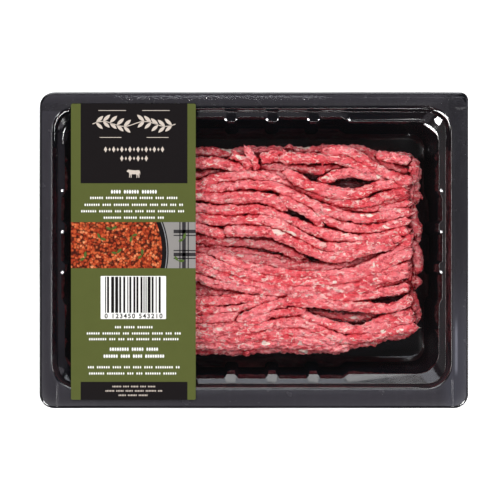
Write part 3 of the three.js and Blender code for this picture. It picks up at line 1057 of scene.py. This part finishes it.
def make_label(inks):
    top = LABEL_HEIGHT + LABEL_SHEET
    green = inks["green_ink"]
    plate("label_base", LABEL_FIELD, LABEL_HEIGHT, LABEL_SHEET, 0.7, "label", green)
    for name, field, corner, node, slot, ink in (
        ("head_panel_print", HEAD_PANEL, 0, "label_top_panel", "label_black", "black_ink"),
        ("foot_panel_print", FOOT_PANEL, 0, "label_foot_panel", "label_black", "black_ink"),
        ("code_patch_print", CODE_PATCH, 0.3, "label_code_patch", "label_white", "white_ink"),
        ("picture_print", PICTURE_FIELD, 0, "label_picture", "label_picture_print", "picture_ink"),
    ):
        plate(name, field, top, INK_LIFT, corner, node, inks[ink])
    rng = random.Random(21)
    lines = [shape for row in LABEL_ROWS for shape in bead_row(rng, *row)]
    small = [shape for row in FOOT_ROWS for shape in bead_row(rng, *row)]
    titles = lozenge_row(42.5, 26.5, 2.6, 15) + lozenge_row(38.6, 12.4, 2.6, 7)
    ox_figure = [[(LABEL_MIDDLE + x, 33.6 + y) for x, y in OX_OUTLINE]]
    cloth, stripes, rim, glint, leaves = dish_picture()
    for name, shapes, layer, slot, ink in (
        ("head_ornament", sprig_ornament(), 1, "label_white", "cream_ink"),
        ("head_titles", titles, 1, "label_white", "cream_ink"),
        ("head_figure", ox_figure, 1, "label_white", "cream_ink"),
        ("label_lines", lines, 0, "label_white", "white_ink"),
        ("foot_lines", small, 1, "label_white", "cream_ink"),
        ("picture_cloth", cloth, 1, "label_white", "linen_ink"),
        ("picture_stripes", stripes, 2, "label_black", "charcoal_ink"),
        ("picture_pan_rim", rim, 2, "label_black", "black_ink"),
        ("picture_rim_glint", glint, 3, "label_white", "grey_ink"),
        ("picture_herbs", leaves, 3, "label_green", "herb_ink"),
        ("label_code_bars", code_bars(rng), 1, "label_black", "black_ink"),
    ):
        ink_shapes(name, shapes, top + INK_LIFT * layer, inks[ink])
    code_digits(top + INK_LIFT, inks["black_ink"])


# Mince

# Each strand in millimetres: its radius and height, then the places (x, y) that its centre line passes,
# with a height of their own where they have one
UPPER_STRANDS = [
    (2.4, 19.8, (-74.5, 43.7), (-68.1, 43.3), (-56, 44.2), (-41.7, 44.4), (-25.6, 43.6), (-18.5, 43.2),
     (-11.3, 42.5), (-6, 43.8), (1.2, 43.8), (8.3, 43.8), (16.4, 43.8), (22.6, 43.8), (28.9, 44),
     (35.1, 44.3), (41.4, 44.3), (46.8, 44), (50.3, 43.4), (53.9, 41.6), (59.3, 40.3), (65.5, 39.8)),
    (2.51, 24, (-73.8, 38), (-67.7, 37.9), (-55.7, 38.2), (-41.5, 39.2), (-25.5, 38.7), (-21, 38.7),
     (-16.6, 38.5), (-12.1, 37.6), (-7.7, 36.5), (-3.3, 35.9, 22.5), (0.3, 35.3, 21)),
    (2.07, 21.6, (-73.9, 33), (-67.9, 33.2), (-55.9, 33.7), (-41.6, 33.5), (-25.5, 33), (-21.1, 34),
     (-16.6, 34.4), (-13.1, 33.8), (-8.6, 33)),
    (2.51, 24.2, (10.1, 41.2, 22.8), (13.6, 40.9), (16.7, 40.8), (20.7, 40.8), (25.2, 40.8), (29.6, 40.8),
     (34, 40.8), (38.5, 40.3), (42.9, 38.9), (46.9, 36.9), (50.5, 34.9), (54.5, 32.7, 23.4),
     (59, 30.8, 22.4)),
    (2.4, 24.8, (30.1, 43.2, 23.5), (34, 43.8), (38.9, 43.9), (42.9, 42.8), (47.3, 40.4), (51.7, 37.5),
     (56.2, 34.9), (61.1, 32.7), (65.5, 31.1), (70, 30, 23.8)),
    (2.29, 21.8, (2.1, 37.9), (8.3, 37.5), (15.4, 36.8), (22.6, 36.1), (28.4, 35.3), (33.7, 36.4),
     (39.5, 37.2)),
    (2.18, 21.4, (1.2, 35), (7, 34.5), (11.9, 33.5), (16.3, 31.7), (20.4, 29.5), (24.4, 27.2)),
    (2.4, 23.8, (28.4, 29.7, 20.4), (31.4, 31, 22.6), (34.1, 32.2), (36.7, 33.2), (40.7, 34.2),
     (44.3, 34.4), (47.8, 33.7), (51.8, 32.9), (55.9, 32.1, 22.6)),
    (2.4, 24.2, (-73.1, 28.6), (-67.7, 28.5), (-55.7, 28.6), (-41.4, 29.7), (-25.5, 29.1), (-21, 30.2),
     (-16.6, 31.6), (-11.3, 32.6), (-5, 33.2), (1.2, 33), (6.5, 32.1, 23.2), (11.9, 30.3, 21.8),
     (17.2, 28.1, 21.4), (22.6, 25.9, 21.6), (28.4, 23.9, 22), (34.1, 22.2, 22.6), (39.8, 21), (45.6, 20.7),
     (50, 21), (54.5, 22.3), (58.9, 24), (63.3, 25.2), (68.2, 26)),
    (2.07, 22.4, (32.3, 19.9), (37.7, 19), (43, 18.7), (48.4, 18.5), (53.3, 18.7), (56.8, 20.1),
     (60.8, 21.6), (64.8, 23), (68.8, 23.9)),
    (2.56, 24.3, (12.4, 36.4, 20.4), (15, 34.5, 22), (17.6, 32.5, 23.4), (20.3, 30.7), (23.4, 29),
     (27.4, 27.6), (31.8, 26.3), (36.2, 25.4), (41.1, 25), (45.6, 25), (49.1, 25.8), (52.2, 27.3),
     (55.8, 28.6), (59.8, 29.1), (64.3, 28.8, 23.6), (68.8, 28.3, 22.8)),
    (2.34, 24.6, (-73.9, 26.4), (-67.7, 26.1), (-55.6, 26), (-41.4, 26), (-25.4, 26.7), (-20.6, 26.8),
     (-16.1, 27.6), (-10.8, 28.3), (-5, 28.8), (0.7, 29), (5.6, 28.5), (10.5, 27.4), (14.9, 25.6),
     (19.4, 23.3), (23.8, 21.1), (28.7, 18.9), (34, 16.9), (39.3, 15.3), (44.7, 14.4), (50.4, 14.1),
     (55.8, 14.7), (60.6, 15.7), (65.5, 16.6), (70, 17.2)),
    (2.07, 23.4, (55, 16.7, 22.4), (59, 18.1), (63.4, 19.5), (69.6, 20.7)),
    (2.67, 24.4, (-74.2, 24), (-67.7, 23.8), (-55.6, 24.2), (-41.4, 24.8), (-25.5, 24.2), (-20.6, 23.5),
     (-14.8, 22.9), (-8.1, 23.2), (-1.5, 23.7), (3.8, 23.3), (8.3, 22), (11.8, 20.1), (15, 18.1, 23.6)),
    (2.4, 24.7, (10.1, 23.8, 22.8), (15.4, 21), (19.8, 18.8), (23.8, 16.9), (26.9, 14.6),
     (29.2, 11.8, 23.8), (30.1, 9.8, 22.8)),
    (2.34, 24.1, (21.7, 20.7, 22.4), (25.6, 18.5, 23.2), (29.6, 15.8), (33.6, 13.1), (38, 11.4),
     (42.9, 10.2), (48.2, 9.5), (53.6, 9.5), (58.9, 10.7), (64.2, 12.3), (69.1, 13.6)),
    (2.45, 24, (-73.7, 19), (-67.7, 17.9), (-55.7, 18), (-41.5, 18.6), (-25.5, 18.7), (-17.5, 17.9),
     (-8.1, 17.9), (-0.6, 18.3), (4.7, 17.8), (9.6, 16), (14.5, 13.9), (19.4, 11.8), (23.8, 9.8),
     (28.7, 7.9), (34, 6.6), (40.7, 5.5), (47.4, 4.8), (53.6, 5.2), (58.9, 6.6), (63.8, 8.1), (68.7, 9.7)),
    (2.4, 24.5, (-73.9, 13.5), (-67.7, 13.8), (-55.6, 13.3), (-41.4, 13.4), (-25.5, 14), (-17, 13.4),
     (-8.1, 13.4), (-0.6, 13.5), (5.2, 13.2), (10.5, 11.8), (15.4, 9.4), (20.3, 6.7), (25.1, 4.2),
     (30, 2.1), (35.3, 1.1), (41.1, 1.3), (46.9, 2.3), (53.1, 3.2), (59.3, 4.3), (65.5, 5.5)),
    (2.51, 24, (-73.7, 10.1), (-67.7, 9.8), (-55.7, 10.2), (-41.5, 10.6), (-25.5, 10), (-21, 9.1),
     (-16.6, 7.9), (-12.2, 6.5, 22.6)),
    (2.51, 24.8, (-13.9, 8.5, 23.4), (-9.5, 8.4), (-4.1, 8.4), (1.2, 8.6), (6.5, 8.3), (11.4, 6.7),
     (15.8, 4.6), (20.3, 2.1), (24.7, -0.3), (29.6, -2.1), (34.9, -3), (40.7, -2.3), (46, -0.8),
     (51.7, 0.6), (57.5, 1.7), (62.8, 2.9)),
    (2.4, 21.8, (-74.2, 4.6), (-67.9, 5.5), (-55.8, 5.8), (-41.6, 4.7), (-25.5, 4.9), (-17.1, 4.4),
     (-8.2, 3.9), (-0.1, 3.4), (7, 2.5), (12.8, 0.7), (18.1, -1.7), (23, -3.5)),
    (2.18, 20.6, (-74.3, 7.8), (-68, 7.8), (-55.9, 8.1), (-41.6, 7), (-25.6, 7.9), (-10.4, 6.1), (3.9, 5.2),
     (11.9, 3.2)),
    (2.4, 23.2, (53.7, 42.1, 22), (57.2, 41.6), (61.2, 40.9), (65.7, 40.1), (69.7, 39.6)),
    (2.29, 21.4, (50.2, 41.3), (54.7, 39), (59.6, 37), (64.5, 35.5), (68.9, 34.5)),
]

LOWER_STRANDS = [
    (2.29, 21, (-74.4, 1.7), (-68, 2), (-55.9, 1.4), (-41.6, 2), (-25.6, 1.6), (-20.2, 0.9), (-12.2, -0.2),
     (-3.7, -1.2), (3.9, -2.5), (11, -3.9), (17.2, -5.1), (23.5, -6.4), (30.6, -6.9), (37.8, -6.6),
     (44, -5.1), (50.2, -3.3), (56, -1.1)),
    (2.4, 22.4, (-74, -0.4), (-67.9, 0.1), (-55.8, -0.3), (-41.5, -0.9), (-25.5, -0.2), (-20.2, -0.8),
     (-14.8, -1.6), (-9.5, -2.6), (-3.7, -3.7), (2.1, -4.6), (8.3, -5.6), (14.5, -6.6), (20.8, -7.5),
     (27.4, -7.8), (34.1, -7.5), (40.4, -6.5, 21.8), (46.2, -4.9, 21), (52.5, -2.9, 20.6)),
    (2.4, 23.6, (-18, -2.6, 22.6), (-12.6, -3.8), (-7.7, -5.4), (-2.4, -7.3), (3, -8.7), (9.6, -9.9),
     (16.3, -10.5), (23.4, -11), (30.5, -11.1), (37.6, -10.6), (43.4, -9.4), (48.7, -7.7), (53.6, -5.6),
     (58.1, -3.1), (62.1, -0.3), (66.1, 2.1), (70.1, 3.8, 23)),
    (2.51, 24.4, (-74.2, -3), (-67.7, -3.1), (-55.6, -4), (-41.4, -3.7), (-25.5, -3.5), (-20.1, -5),
     (-15.2, -6.9), (-9.9, -8.7), (-4.6, -10.3), (0.7, -11.8), (6.1, -13.1), (12.3, -13.8), (18.9, -14.1),
     (25.6, -13.9), (32.2, -13.6), (38.9, -12.9), (45.1, -11.4), (50.9, -9.4), (56.2, -7.1), (61.1, -4.7),
     (65.5, -2.4), (70.1, -0.3, 23.4)),
    (2.29, 23.8, (30.5, -16.2, 22.8), (36.7, -15.8), (42.5, -14.7), (47.8, -13.2), (53.2, -11.6),
     (58.5, -9.8), (63.8, -8), (69.1, -6)),
    (2.45, 24.5, (-74, -7.2), (-67.7, -6.9), (-55.6, -7.3), (-41.4, -6.6), (-25.5, -7.4), (-20.1, -9.1),
     (-14.8, -11.1), (-9.5, -12.8), (-3.7, -14.4), (2.1, -15.6), (8.3, -16.5), (14.9, -17), (21.6, -17.2),
     (28.2, -17.2), (34.9, -16.9), (41.1, -16.4), (46.4, -15.4), (51.8, -14.1), (57.5, -12.6),
     (63.3, -11.2), (69.2, -9.7, 23.4)),
    (2.34, 23.9, (-73.4, -11.9), (-67.7, -12), (-55.7, -11.9), (-41.5, -12.3), (-25.5, -11.5),
     (-20.6, -13.4), (-15.7, -14.5), (-10.4, -15.4), (-4.6, -16.4), (1.6, -17.2), (7.8, -18), (14.5, -18.5),
     (21.6, -18.7), (28.7, -18.8), (34.9, -18.6), (40.7, -18.3), (46, -17.5), (50.9, -16.5),
     (56.4, -15.3, 22.6), (62.3, -14, 21.2), (67.2, -13.1, 21)),
    (2.29, 20.4, (-74.7, -15.7), (-68, -16.5), (-55.9, -16.5), (-41.7, -15.9), (-25.6, -16), (-20.2, -16.9),
     (-14.9, -17.5), (-9.5, -17.4), (-3.3, -16.9)),
    (2.18, 21.2, (-73.4, -18.8), (-68, -19.1), (-55.9, -18.4), (-41.6, -18.3), (-25.6, -18.8),
     (-19.3, -19.4), (-12.2, -19.1), (-5.9, -18.4), (-0.6, -18.2)),
    (2.29, 24.3, (13.6, -19.9, 22.6), (19.8, -20.2), (26, -20.6), (32.3, -20.8), (38.5, -20.8),
     (43.8, -20.5), (49.1, -19.9), (54.4, -19), (59.8, -18.1), (64.7, -17.1), (69.2, -16.1, 23.2)),
    (2.34, 23.2, (-73.8, -22.1), (-67.8, -22.3), (-55.7, -23.5), (-41.5, -22.3), (-25.5, -22.6),
     (-19.3, -22.5), (-13, -22), (-7.3, -21.3), (-1.9, -20.9), (3, -21.3), (7.4, -22.2, 22)),
    (2.34, 23, (-74.4, -25.8), (-67.8, -25.8), (-55.7, -27), (-41.5, -26.2), (-25.5, -26.5), (-18.4, -26.7),
     (-12.2, -26.3), (-6.8, -25.6), (-1.5, -24.2), (3.9, -22.6), (8.7, -21.2), (13.7, -20.1, 22)),
    (2.29, 23.2, (-74, -29.6), (-67.8, -30.6), (-55.7, -30.1), (-41.5, -29.7), (-25.5, -30.2),
     (-19.3, -30.5), (-13.9, -30.3), (-9.5, -29.4), (-5.5, -28.2, 22)),
    (2.18, 22.8, (-74.4, -32.9), (-67.8, -32.8), (-55.8, -33.9), (-41.5, -33), (-25.5, -33.6),
     (-20.2, -33.9), (-14.8, -33.7), (-9.5, -32.8)),
    (2.4, 24.9, (-7.7, -32.2, 23.8), (-3.7, -29.8), (0.7, -27.5), (5.2, -25.6), (9.6, -23.9), (14.5, -22.8),
     (19.8, -22.6), (26, -23), (32.2, -23.5), (38.4, -24.1), (44.2, -24.7), (50, -25.2), (55.7, -25.7),
     (61.1, -25.4), (65, -24.1), (67.7, -22), (68.3, -19.7, 23.8)),
    (2.56, 24.3, (-74.3, -36.5), (-67.7, -36.1), (-55.6, -37.7), (-41.4, -36.1), (-25.5, -36.8),
     (-19.2, -36.2), (-13, -35.2), (-7.3, -33.8), (-1.9, -31.8), (3.4, -29.7), (8.3, -28.2), (12.7, -27.3),
     (16.7, -27), (20.3, -26.8, 22.6), (23.5, -27.2, 20.8)),
    (2.51, 24, (-13.9, -38.4, 22.8), (-7.3, -36.8), (-1.9, -35), (3.8, -33.4), (9.6, -32.4), (15.4, -32),
     (20.3, -32.3), (24.7, -33.6), (28.7, -35.4), (32.7, -37.3), (37.6, -38.9), (43, -39.7, 22.8)),
    (2.29, 19.8, (23.5, -27.4), (29.8, -28.4), (36.5, -29.4), (43.2, -30.1), (49.4, -29.6), (55.7, -28.4)),
    (2.4, 23.8, (19, -28.2, 20.8), (22.1, -29.2, 22.4), (26.5, -30.6), (31.4, -32.3), (36.3, -33.7),
     (41.2, -34.9), (46, -35.2), (50, -34.3), (54, -32.4), (58, -30.6), (62.5, -29), (66.9, -28),
     (70.6, -27.5, 22.8)),
    (2.51, 24.2, (50.1, -37.1, 22.6), (53.6, -35.4), (57.6, -33.4), (62, -31.6), (66.4, -30.4),
     (70.9, -29.7)),
    (2.51, 23.4, (40.3, -38.9), (46.1, -39), (51.9, -38.3), (57.2, -36.8), (62.5, -35.4), (67.9, -34.7),
     (72.3, -34.4)),
    (2.29, 21.6, (34.2, -41.6), (40.4, -41.6), (46.6, -41), (52.4, -40.1), (57.3, -38.6)),
    (2.34, 23.6, (3.9, -37.6, 22.4), (10.1, -36.2), (16.3, -35.8), (22.1, -36.4), (27.4, -37.9),
     (33.2, -39.8), (38.6, -41, 22.4)),
    (2.4, 23.4, (-73.7, -38.9), (-67.8, -38.4), (-55.7, -39.7), (-41.5, -38.8), (-25.5, -38.8),
     (-17, -39.2), (-8.2, -38.9), (-0.6, -38.1), (7.4, -38.4), (15.4, -38.9), (22.5, -39.8), (29.6, -40.8),
     (35.9, -41.9, 22.4)),
    (2.4, 22.4, (-74.2, -41.4), (-67.9, -40.8), (-55.8, -41.7), (-41.5, -41.3), (-25.5, -41.8),
     (-17.1, -42.1), (-8.2, -42.1), (0.7, -41.4), (9.6, -41.2), (18.5, -41.4), (27.4, -42.2), (35.9, -42.8),
     (43, -42.1)),
    (2.4, 19.6, (-73.6, -44), (-68.1, -43.5), (-56, -43.1), (-41.7, -43.5), (-25.6, -43.9), (-15.8, -44.1),
     (-5.1, -44.2), (5.2, -43.5), (15.5, -43.7), (25.3, -43.5), (34.3, -43.4), (41.4, -42.6)),
]

TORN_BITS = [
    (2.09, 24.6, (-10.8, 40.3, 23.2), (-8.1, 41.3), (-5.5, 40.2), (-2.8, 38.6), (-0.6, 36.8, 23.2)),
    (1.21, 24.2, (-9, 43.9), (-8.1, 42.2)),
    (1.87, 25.2, (-3.9, 45.9, 23.6), (-2.8, 43.7, 24.8), (-1.3, 41.3), (0.1, 38.8), (0.9, 36.4, 24.4),
     (1, 35, 23.4)),
    (2.53, 24.2, (2.1, 39.9, 23), (5.2, 40.9), (8.7, 41.7), (12.3, 42.4)),
    (1.87, 23.4, (12.5, 44.5), (13.2, 41.8), (15, 39.4)),
    (3.3, 21.6, (14.3, 45.3), (15.7, 45.5), (17, 45)),
    (1.1, 23.4, (30.3, 38.3), (30.5, 36), (30.3, 33.6)),
    (2.2, 22, (70.7, 40.3), (71.1, 37), (71.1, 33.4), (70.7, 29.4)),
    (0.61, 23.6, (68.5, 37.4), (69.4, 36), (69.2, 34.3)),
    (2.31, 18.6, (72.1, 37.6), (72.3, 32.3), (71.7, 26.9), (71.7, 20.6)),
    (0.61, 20, (70.9, 24.6), (72.9, 25.5), (74.2, 24.6), (75, 22.7, 18.8)),
    (2.09, 19.6, (70.7, 25.5), (72.2, 24), (72.9, 21.9)),
    (2.42, 20.6, (70.8, 19.7), (70.1, 16.1), (70.8, 12.5), (72.1, 9.4), (72.1, 6.3)),
    (2.31, 18.4, (72.7, 12.6), (73.2, 8.1), (71.7, 3.2)),
    (2.31, 22.6, (63.5, 1.4), (66.2, 3.8), (68.4, 5.8), (70.2, 7.8)),
    (2.42, 20.6, (69.5, 4.5), (71.3, 0.9), (72.6, -3.1), (72.8, -7.1), (72, -10.7)),
    (2.86, 20.8, (71.1, -11.6), (71.9, -13.8), (71.5, -16.5)),
    (2.31, 19.6, (70.7, -17.8), (70.3, -21.4), (71.4, -24.5), (72.2, -28.1), (72.5, -32.1)),
    (2.31, 21.4, (68.9, -23.1), (70.7, -25.4), (71.8, -28)),
    (2.09, 20.6, (-5.7, -44.7), (-3.3, -45.3), (-1, -44.8)),
    (2.31, 19.8, (34.3, -43.7), (36.5, -44.5), (38.3, -43.7)),
    (1.98, 23.4, (47.9, -39.1), (50.1, -38.9), (51.4, -39.5)),
    (1.43, 25, (12.3, -27.4), (14.5, -27.6), (16.7, -27)),
    (1.43, 24.6, (13.2, 19.5), (14.2, 18.4), (13.6, 17.5)),
]


def full_strand(strand):
    """The radius and the places (x, y, z) of a strand; one that runs under the label sinks at its end."""
    radius, height, *places = strand
    dips = LEFT_DIPS if places[0][0] < LABEL_END else ()
    full = []
    for i, (x, y, *own) in enumerate(places):
        full.append((x, y, own[0] if own else round(height - (dips[i] if i < len(dips) else 0), 1)))
    return (radius, *full)


def smooth_way(points, ring):
    """A Catmull-Rom line through the points, with a place for every ring."""
    points = [np.array(point, float) for point in points]
    points = [2 * points[0] - points[1]] + points + [2 * points[-1] - points[-2]]
    way = []
    for a, b, c, d in zip(points, points[1:], points[2:], points[3:]):
        count = max(2, int(np.linalg.norm(c - b) / ring))
        for step in range(count):
            t = step / count
            bend = (2 * a - 5 * b + 4 * c - d) * t ** 2 + (3 * b - a - 3 * c + d) * t ** 3
            way.append(0.5 * (2 * b + (c - a) * t + bend))
    way.append(points[-2])
    return np.array(way)


def grainy(spot, seed):
    """How far the surface of the meat stands out there, in millimetres."""
    at = Vector(spot)
    crumb = noise.voronoi((at + Vector((seed, 0, 0))) / 1.75)[0][0]
    soft = noise.noise(at / 2.6 + Vector((0, seed, 0)))
    return (0.42 - crumb) * 0.95 + soft * 0.42


def lay_strand(tubes, points, radius, rng, ring, sides, lumpy):
    """Adds one lumpy strand with closed torn ends, in rings of so many sides."""
    way = smooth_way(points, ring)
    seed = rng.uniform(0, 500)
    total = len(way)
    for i, place in enumerate(way):
        along = i * ring
        place[1] += WANDER * noise.noise(Vector((along / 9, seed, 0.5)))
        place[2] += 2 * WANDER * noise.noise(Vector((along / 9, seed, 7.5)))
    tangents = np.gradient(way, axis=0)
    tangents /= np.linalg.norm(tangents, axis=1)[:, None]
    across = np.cross(tangents, (0, 0, 1))
    across /= np.linalg.norm(across, axis=1)[:, None]
    ups = np.cross(across, tangents)
    rings = []
    for i in range(total):
        left = min(i, total - 1 - i) * ring
        swell = 1 + 0.22 * lumpy * noise.noise(Vector((i * ring / 6.5, seed, 2.2)))
        tip = max(0.15, 1 - (1 - min(1.0, left / (radius * 0.95))) ** 2.6)
        ragged = (1 - tip) * radius * 1.5 * (1 if i < total / 2 else -1)
        rings.append([])
        for side in range(sides):
            angle = side / sides * math.tau
            out = across[i] * math.cos(angle) * 1.04 + ups[i] * math.sin(angle) * 0.94
            spot = way[i] + out * radius * swell * tip
            if ragged:
                torn = noise.noise(Vector((math.cos(angle) * 1.3, math.sin(angle) * 1.3, seed)))
                spot = spot + tangents[i] * ragged * torn
            rings[-1].append(spot + out * grainy(spot, seed) * lumpy * (0.35 + 0.65 * tip))
    tubes.add(rings)


def strands_piece(name, strands, seed, material, ring=0.62, sides=20, lumpy=1.0):
    rng = random.Random(seed)
    tubes = Tubes()
    for radius, *points in strands:
        lay_strand(tubes, points, radius, rng, ring, sides, lumpy)
    piece = tubes.outward_piece(name)
    bpy.ops.object.shade_smooth()
    finish_piece(piece, "mince", material)


def near_edge(x):
    """Where the block's near side runs: straight, and drawn in towards its right end."""
    return -42.2 + 6.4 * min(1.0, max(0.0, (x - 38) / 32)) ** 0.8


def under_strands(rng):
    """The layer that shows through the gaps, painted dark as shade."""
    strands = []
    for row in range(15):
        points = []
        for step in range(9):
            x = -69 + step * 17.2
            low, high = near_edge(x) + 3.4, 39.5
            y = low + (high - low) * (row / 14) + rng.uniform(-1.2, 1.2)
            points.append((x, y, 18.8 + rng.uniform(-0.6, 0.6)))
        strands.append((2.5, *points))
    return strands


def flank_strands(rng):
    """The strands down the four sides of the block."""
    strands = []
    for level in SIDE_LEVELS:
        for sign in (-1, 1):
            points = []
            for step in range(10):
                x = -70 + step * 15.6 + rng.uniform(-1, 1)
                y = near_edge(x) if sign < 0 else 42.0
                points.append((x, y + rng.uniform(-0.9, 0.6), max(3.25, level + rng.uniform(-0.9, 0.9))))
            strands.append((rng.uniform(2.2, 2.6), *points))
    for level in END_LEVELS:
        for sign in (-1, 1):
            points = []
            for step in range(7):
                y = -36 + step * 12.6 + rng.uniform(-1, 1)
                x = sign * (70 - 0.5 * abs(step - 3)) + rng.uniform(-0.9, 0.9)
                if sign > 0 and step == 0:
                    y = -33
                points.append((x, y, max(3.3, level + rng.uniform(-1.1, 1.1))))
            strands.append((rng.uniform(2.2, 2.6), *points))
    return strands


def make_core(material):
    start_clean()
    bpy.ops.mesh.primitive_cube_add(size=1)
    piece = named("mince_core")
    bpy.ops.object.mode_set(mode="EDIT")
    select_all()
    bpy.ops.transform.resize(value=[value * MM for value in CORE_SIZE])
    move((-1, 0, MINCE_BASE + CORE_SIZE[2] / 2))
    bpy.ops.mesh.subdivide(number_cuts=24)
    leave_edit()
    for point in piece.data.vertices:
        place = point.co / MM
        rough = noise.noise(Vector((place.x / 5, place.y / 4, place.z / 5))) * 0.8
        low = near_edge(place.x) + 2.2
        point.co.y = max(place.y, low) * MM
        point.co.z = max(place.z + rough, MINCE_BASE) * MM
    smooth(piece, 60)
    finish_piece(piece, "mince", material)


def mean_height(strand):
    return sum(place[2] for place in strand[1:]) / (len(strand) - 1)


def make_mince():
    # Lit and painted-shade copies of the meat: a partly darkened one for the sunk strands, a nearly dark
    # one for the under layer and the core
    bright = raw_meat("raw_mince", 0.0)
    painted_shade = raw_meat("raw_mince_dark_shade", 0.93)
    half_shade = raw_meat("raw_mince_shaded", 0.3)
    tables = UPPER_STRANDS, LOWER_STRANDS, TORN_BITS
    tables = [[full_strand(strand) for strand in table] for table in tables]
    sunk = [strand for table in tables for strand in table if mean_height(strand) < SUNK_HEIGHT]
    far, near, torn = ([strand for strand in table if strand not in sunk] for table in tables)
    strands_piece("mince_far_strands", far, 11, bright)
    strands_piece("mince_near_strands", near, 12, bright)
    strands_piece("mince_torn_bits", torn, 13, bright, 0.5, 22, 1.6)
    strands_piece("mince_sunk_strands", sunk, 16, half_shade, lumpy=1.2)
    rng = random.Random(5)
    # The under layer and the core take the nearly dark copy, as painted shade in the gaps
    strands_piece("mince_under_strands", under_strands(rng), 14, painted_shade, 1.0, 14)
    strands_piece("mince_flank_strands", flank_strands(rng), 15, bright, 0.7, 18, 1.5)
    make_core(painted_shade)


# Stage, light and camera

def make_stage():
    start_clean()
    bpy.ops.mesh.primitive_plane_add(size=4)
    floor = named("pale_floor")
    floor.data.materials.append(floor_finish())


def softbox(name, place, size, power, colour=(1, 1, 1)):
    bpy.ops.object.light_add(type="AREA", location=place)
    lamp = bpy.context.object
    lamp.name = name
    lamp.data.shape = "RECTANGLE"
    lamp.data.size, lamp.data.size_y = size
    lamp.data.energy = power
    lamp.data.color = colour
    lamp.rotation_mode = "QUATERNION"
    lamp.rotation_quaternion = (-Vector(place)).to_track_quat("-Z", "Y")


def make_light():
    world = bpy.data.worlds.new("studio")
    bpy.context.scene.world = world
    world.use_nodes = True
    back = world.node_tree.nodes["Background"]
    back.inputs["Color"].default_value = (1, 1, 1, 1)
    back.inputs["Strength"].default_value = 0.05
    softbox("back_softbox", BACK_SOFTBOX, (1.5, 0.6), 12)
    softbox("back_veil", (0.0, 0.62, 1.25), (0.75, 0.36), 1.9, (0.94, 0.97, 1.06))
    softbox("left_strip", (-1.25, 0.1, 0.7), (0.7, 0.35), 6)
    softbox("right_strip", (1.25, 0.1, 0.7), (0.7, 0.35), 5.5)
    softbox("left_veil", (-0.8, 0, 1.05), (0.8, 0.6), 0.35)
    softbox("right_veil", (0.85, 0, 1.0), (0.8, 0.9), 1.8, (1.0, 0.93, 1.05))
    softbox("right_glow", (0.8, -0.12, 1.12), (0.16, 0.14), 0.25)
    softbox("front_softbox", FRONT_SOFTBOX, (0.6, 0.3), 5)
    softbox("front_veil", (0.0, -0.62, 1.25), (0.3, 0.36), 0.13, (1.0, 0.94, 1.04))
    softbox("front_left_lamp", FRONT_LEFT, (0.2, 0.16), 3.2)
    softbox("front_right_lamp", FRONT_RIGHT, (0.2, 0.16), 3.0)


def make_camera():
    data = bpy.data.cameras.new("camera")
    camera = bpy.data.objects.new("camera", data)
    bpy.context.scene.collection.objects.link(camera)
    data.sensor_width = 36
    data.lens = 36 * CAMERA_HEIGHT / FRAME_WIDTH
    camera.location = (CAMERA_OFF[0] * MM, CAMERA_OFF[1] * MM, (CAMERA_HEIGHT + TRAY_HEIGHT) * MM)
    camera.rotation_euler = (0, 0, 0)
    bpy.context.scene.camera = camera


def build():
    make_camera()
    make_light()
    make_stage()
    plastic = black_plastic("black_tray_plastic", 0.4)
    make_tray(plastic)
    taut = black_plastic("taut_tray_plastic", 0.06)
    make_rib_corners(taut)
    make_glint_strips(taut)
    make_film(clear_film())
    make_label({name: print_ink(name, *ink) for name, ink in INKS.items()} | {"picture_ink": stew_ink()})
    make_mince()
    bpy.context.scene.view_settings.view_transform = "Standard"
    start_clean()


build()
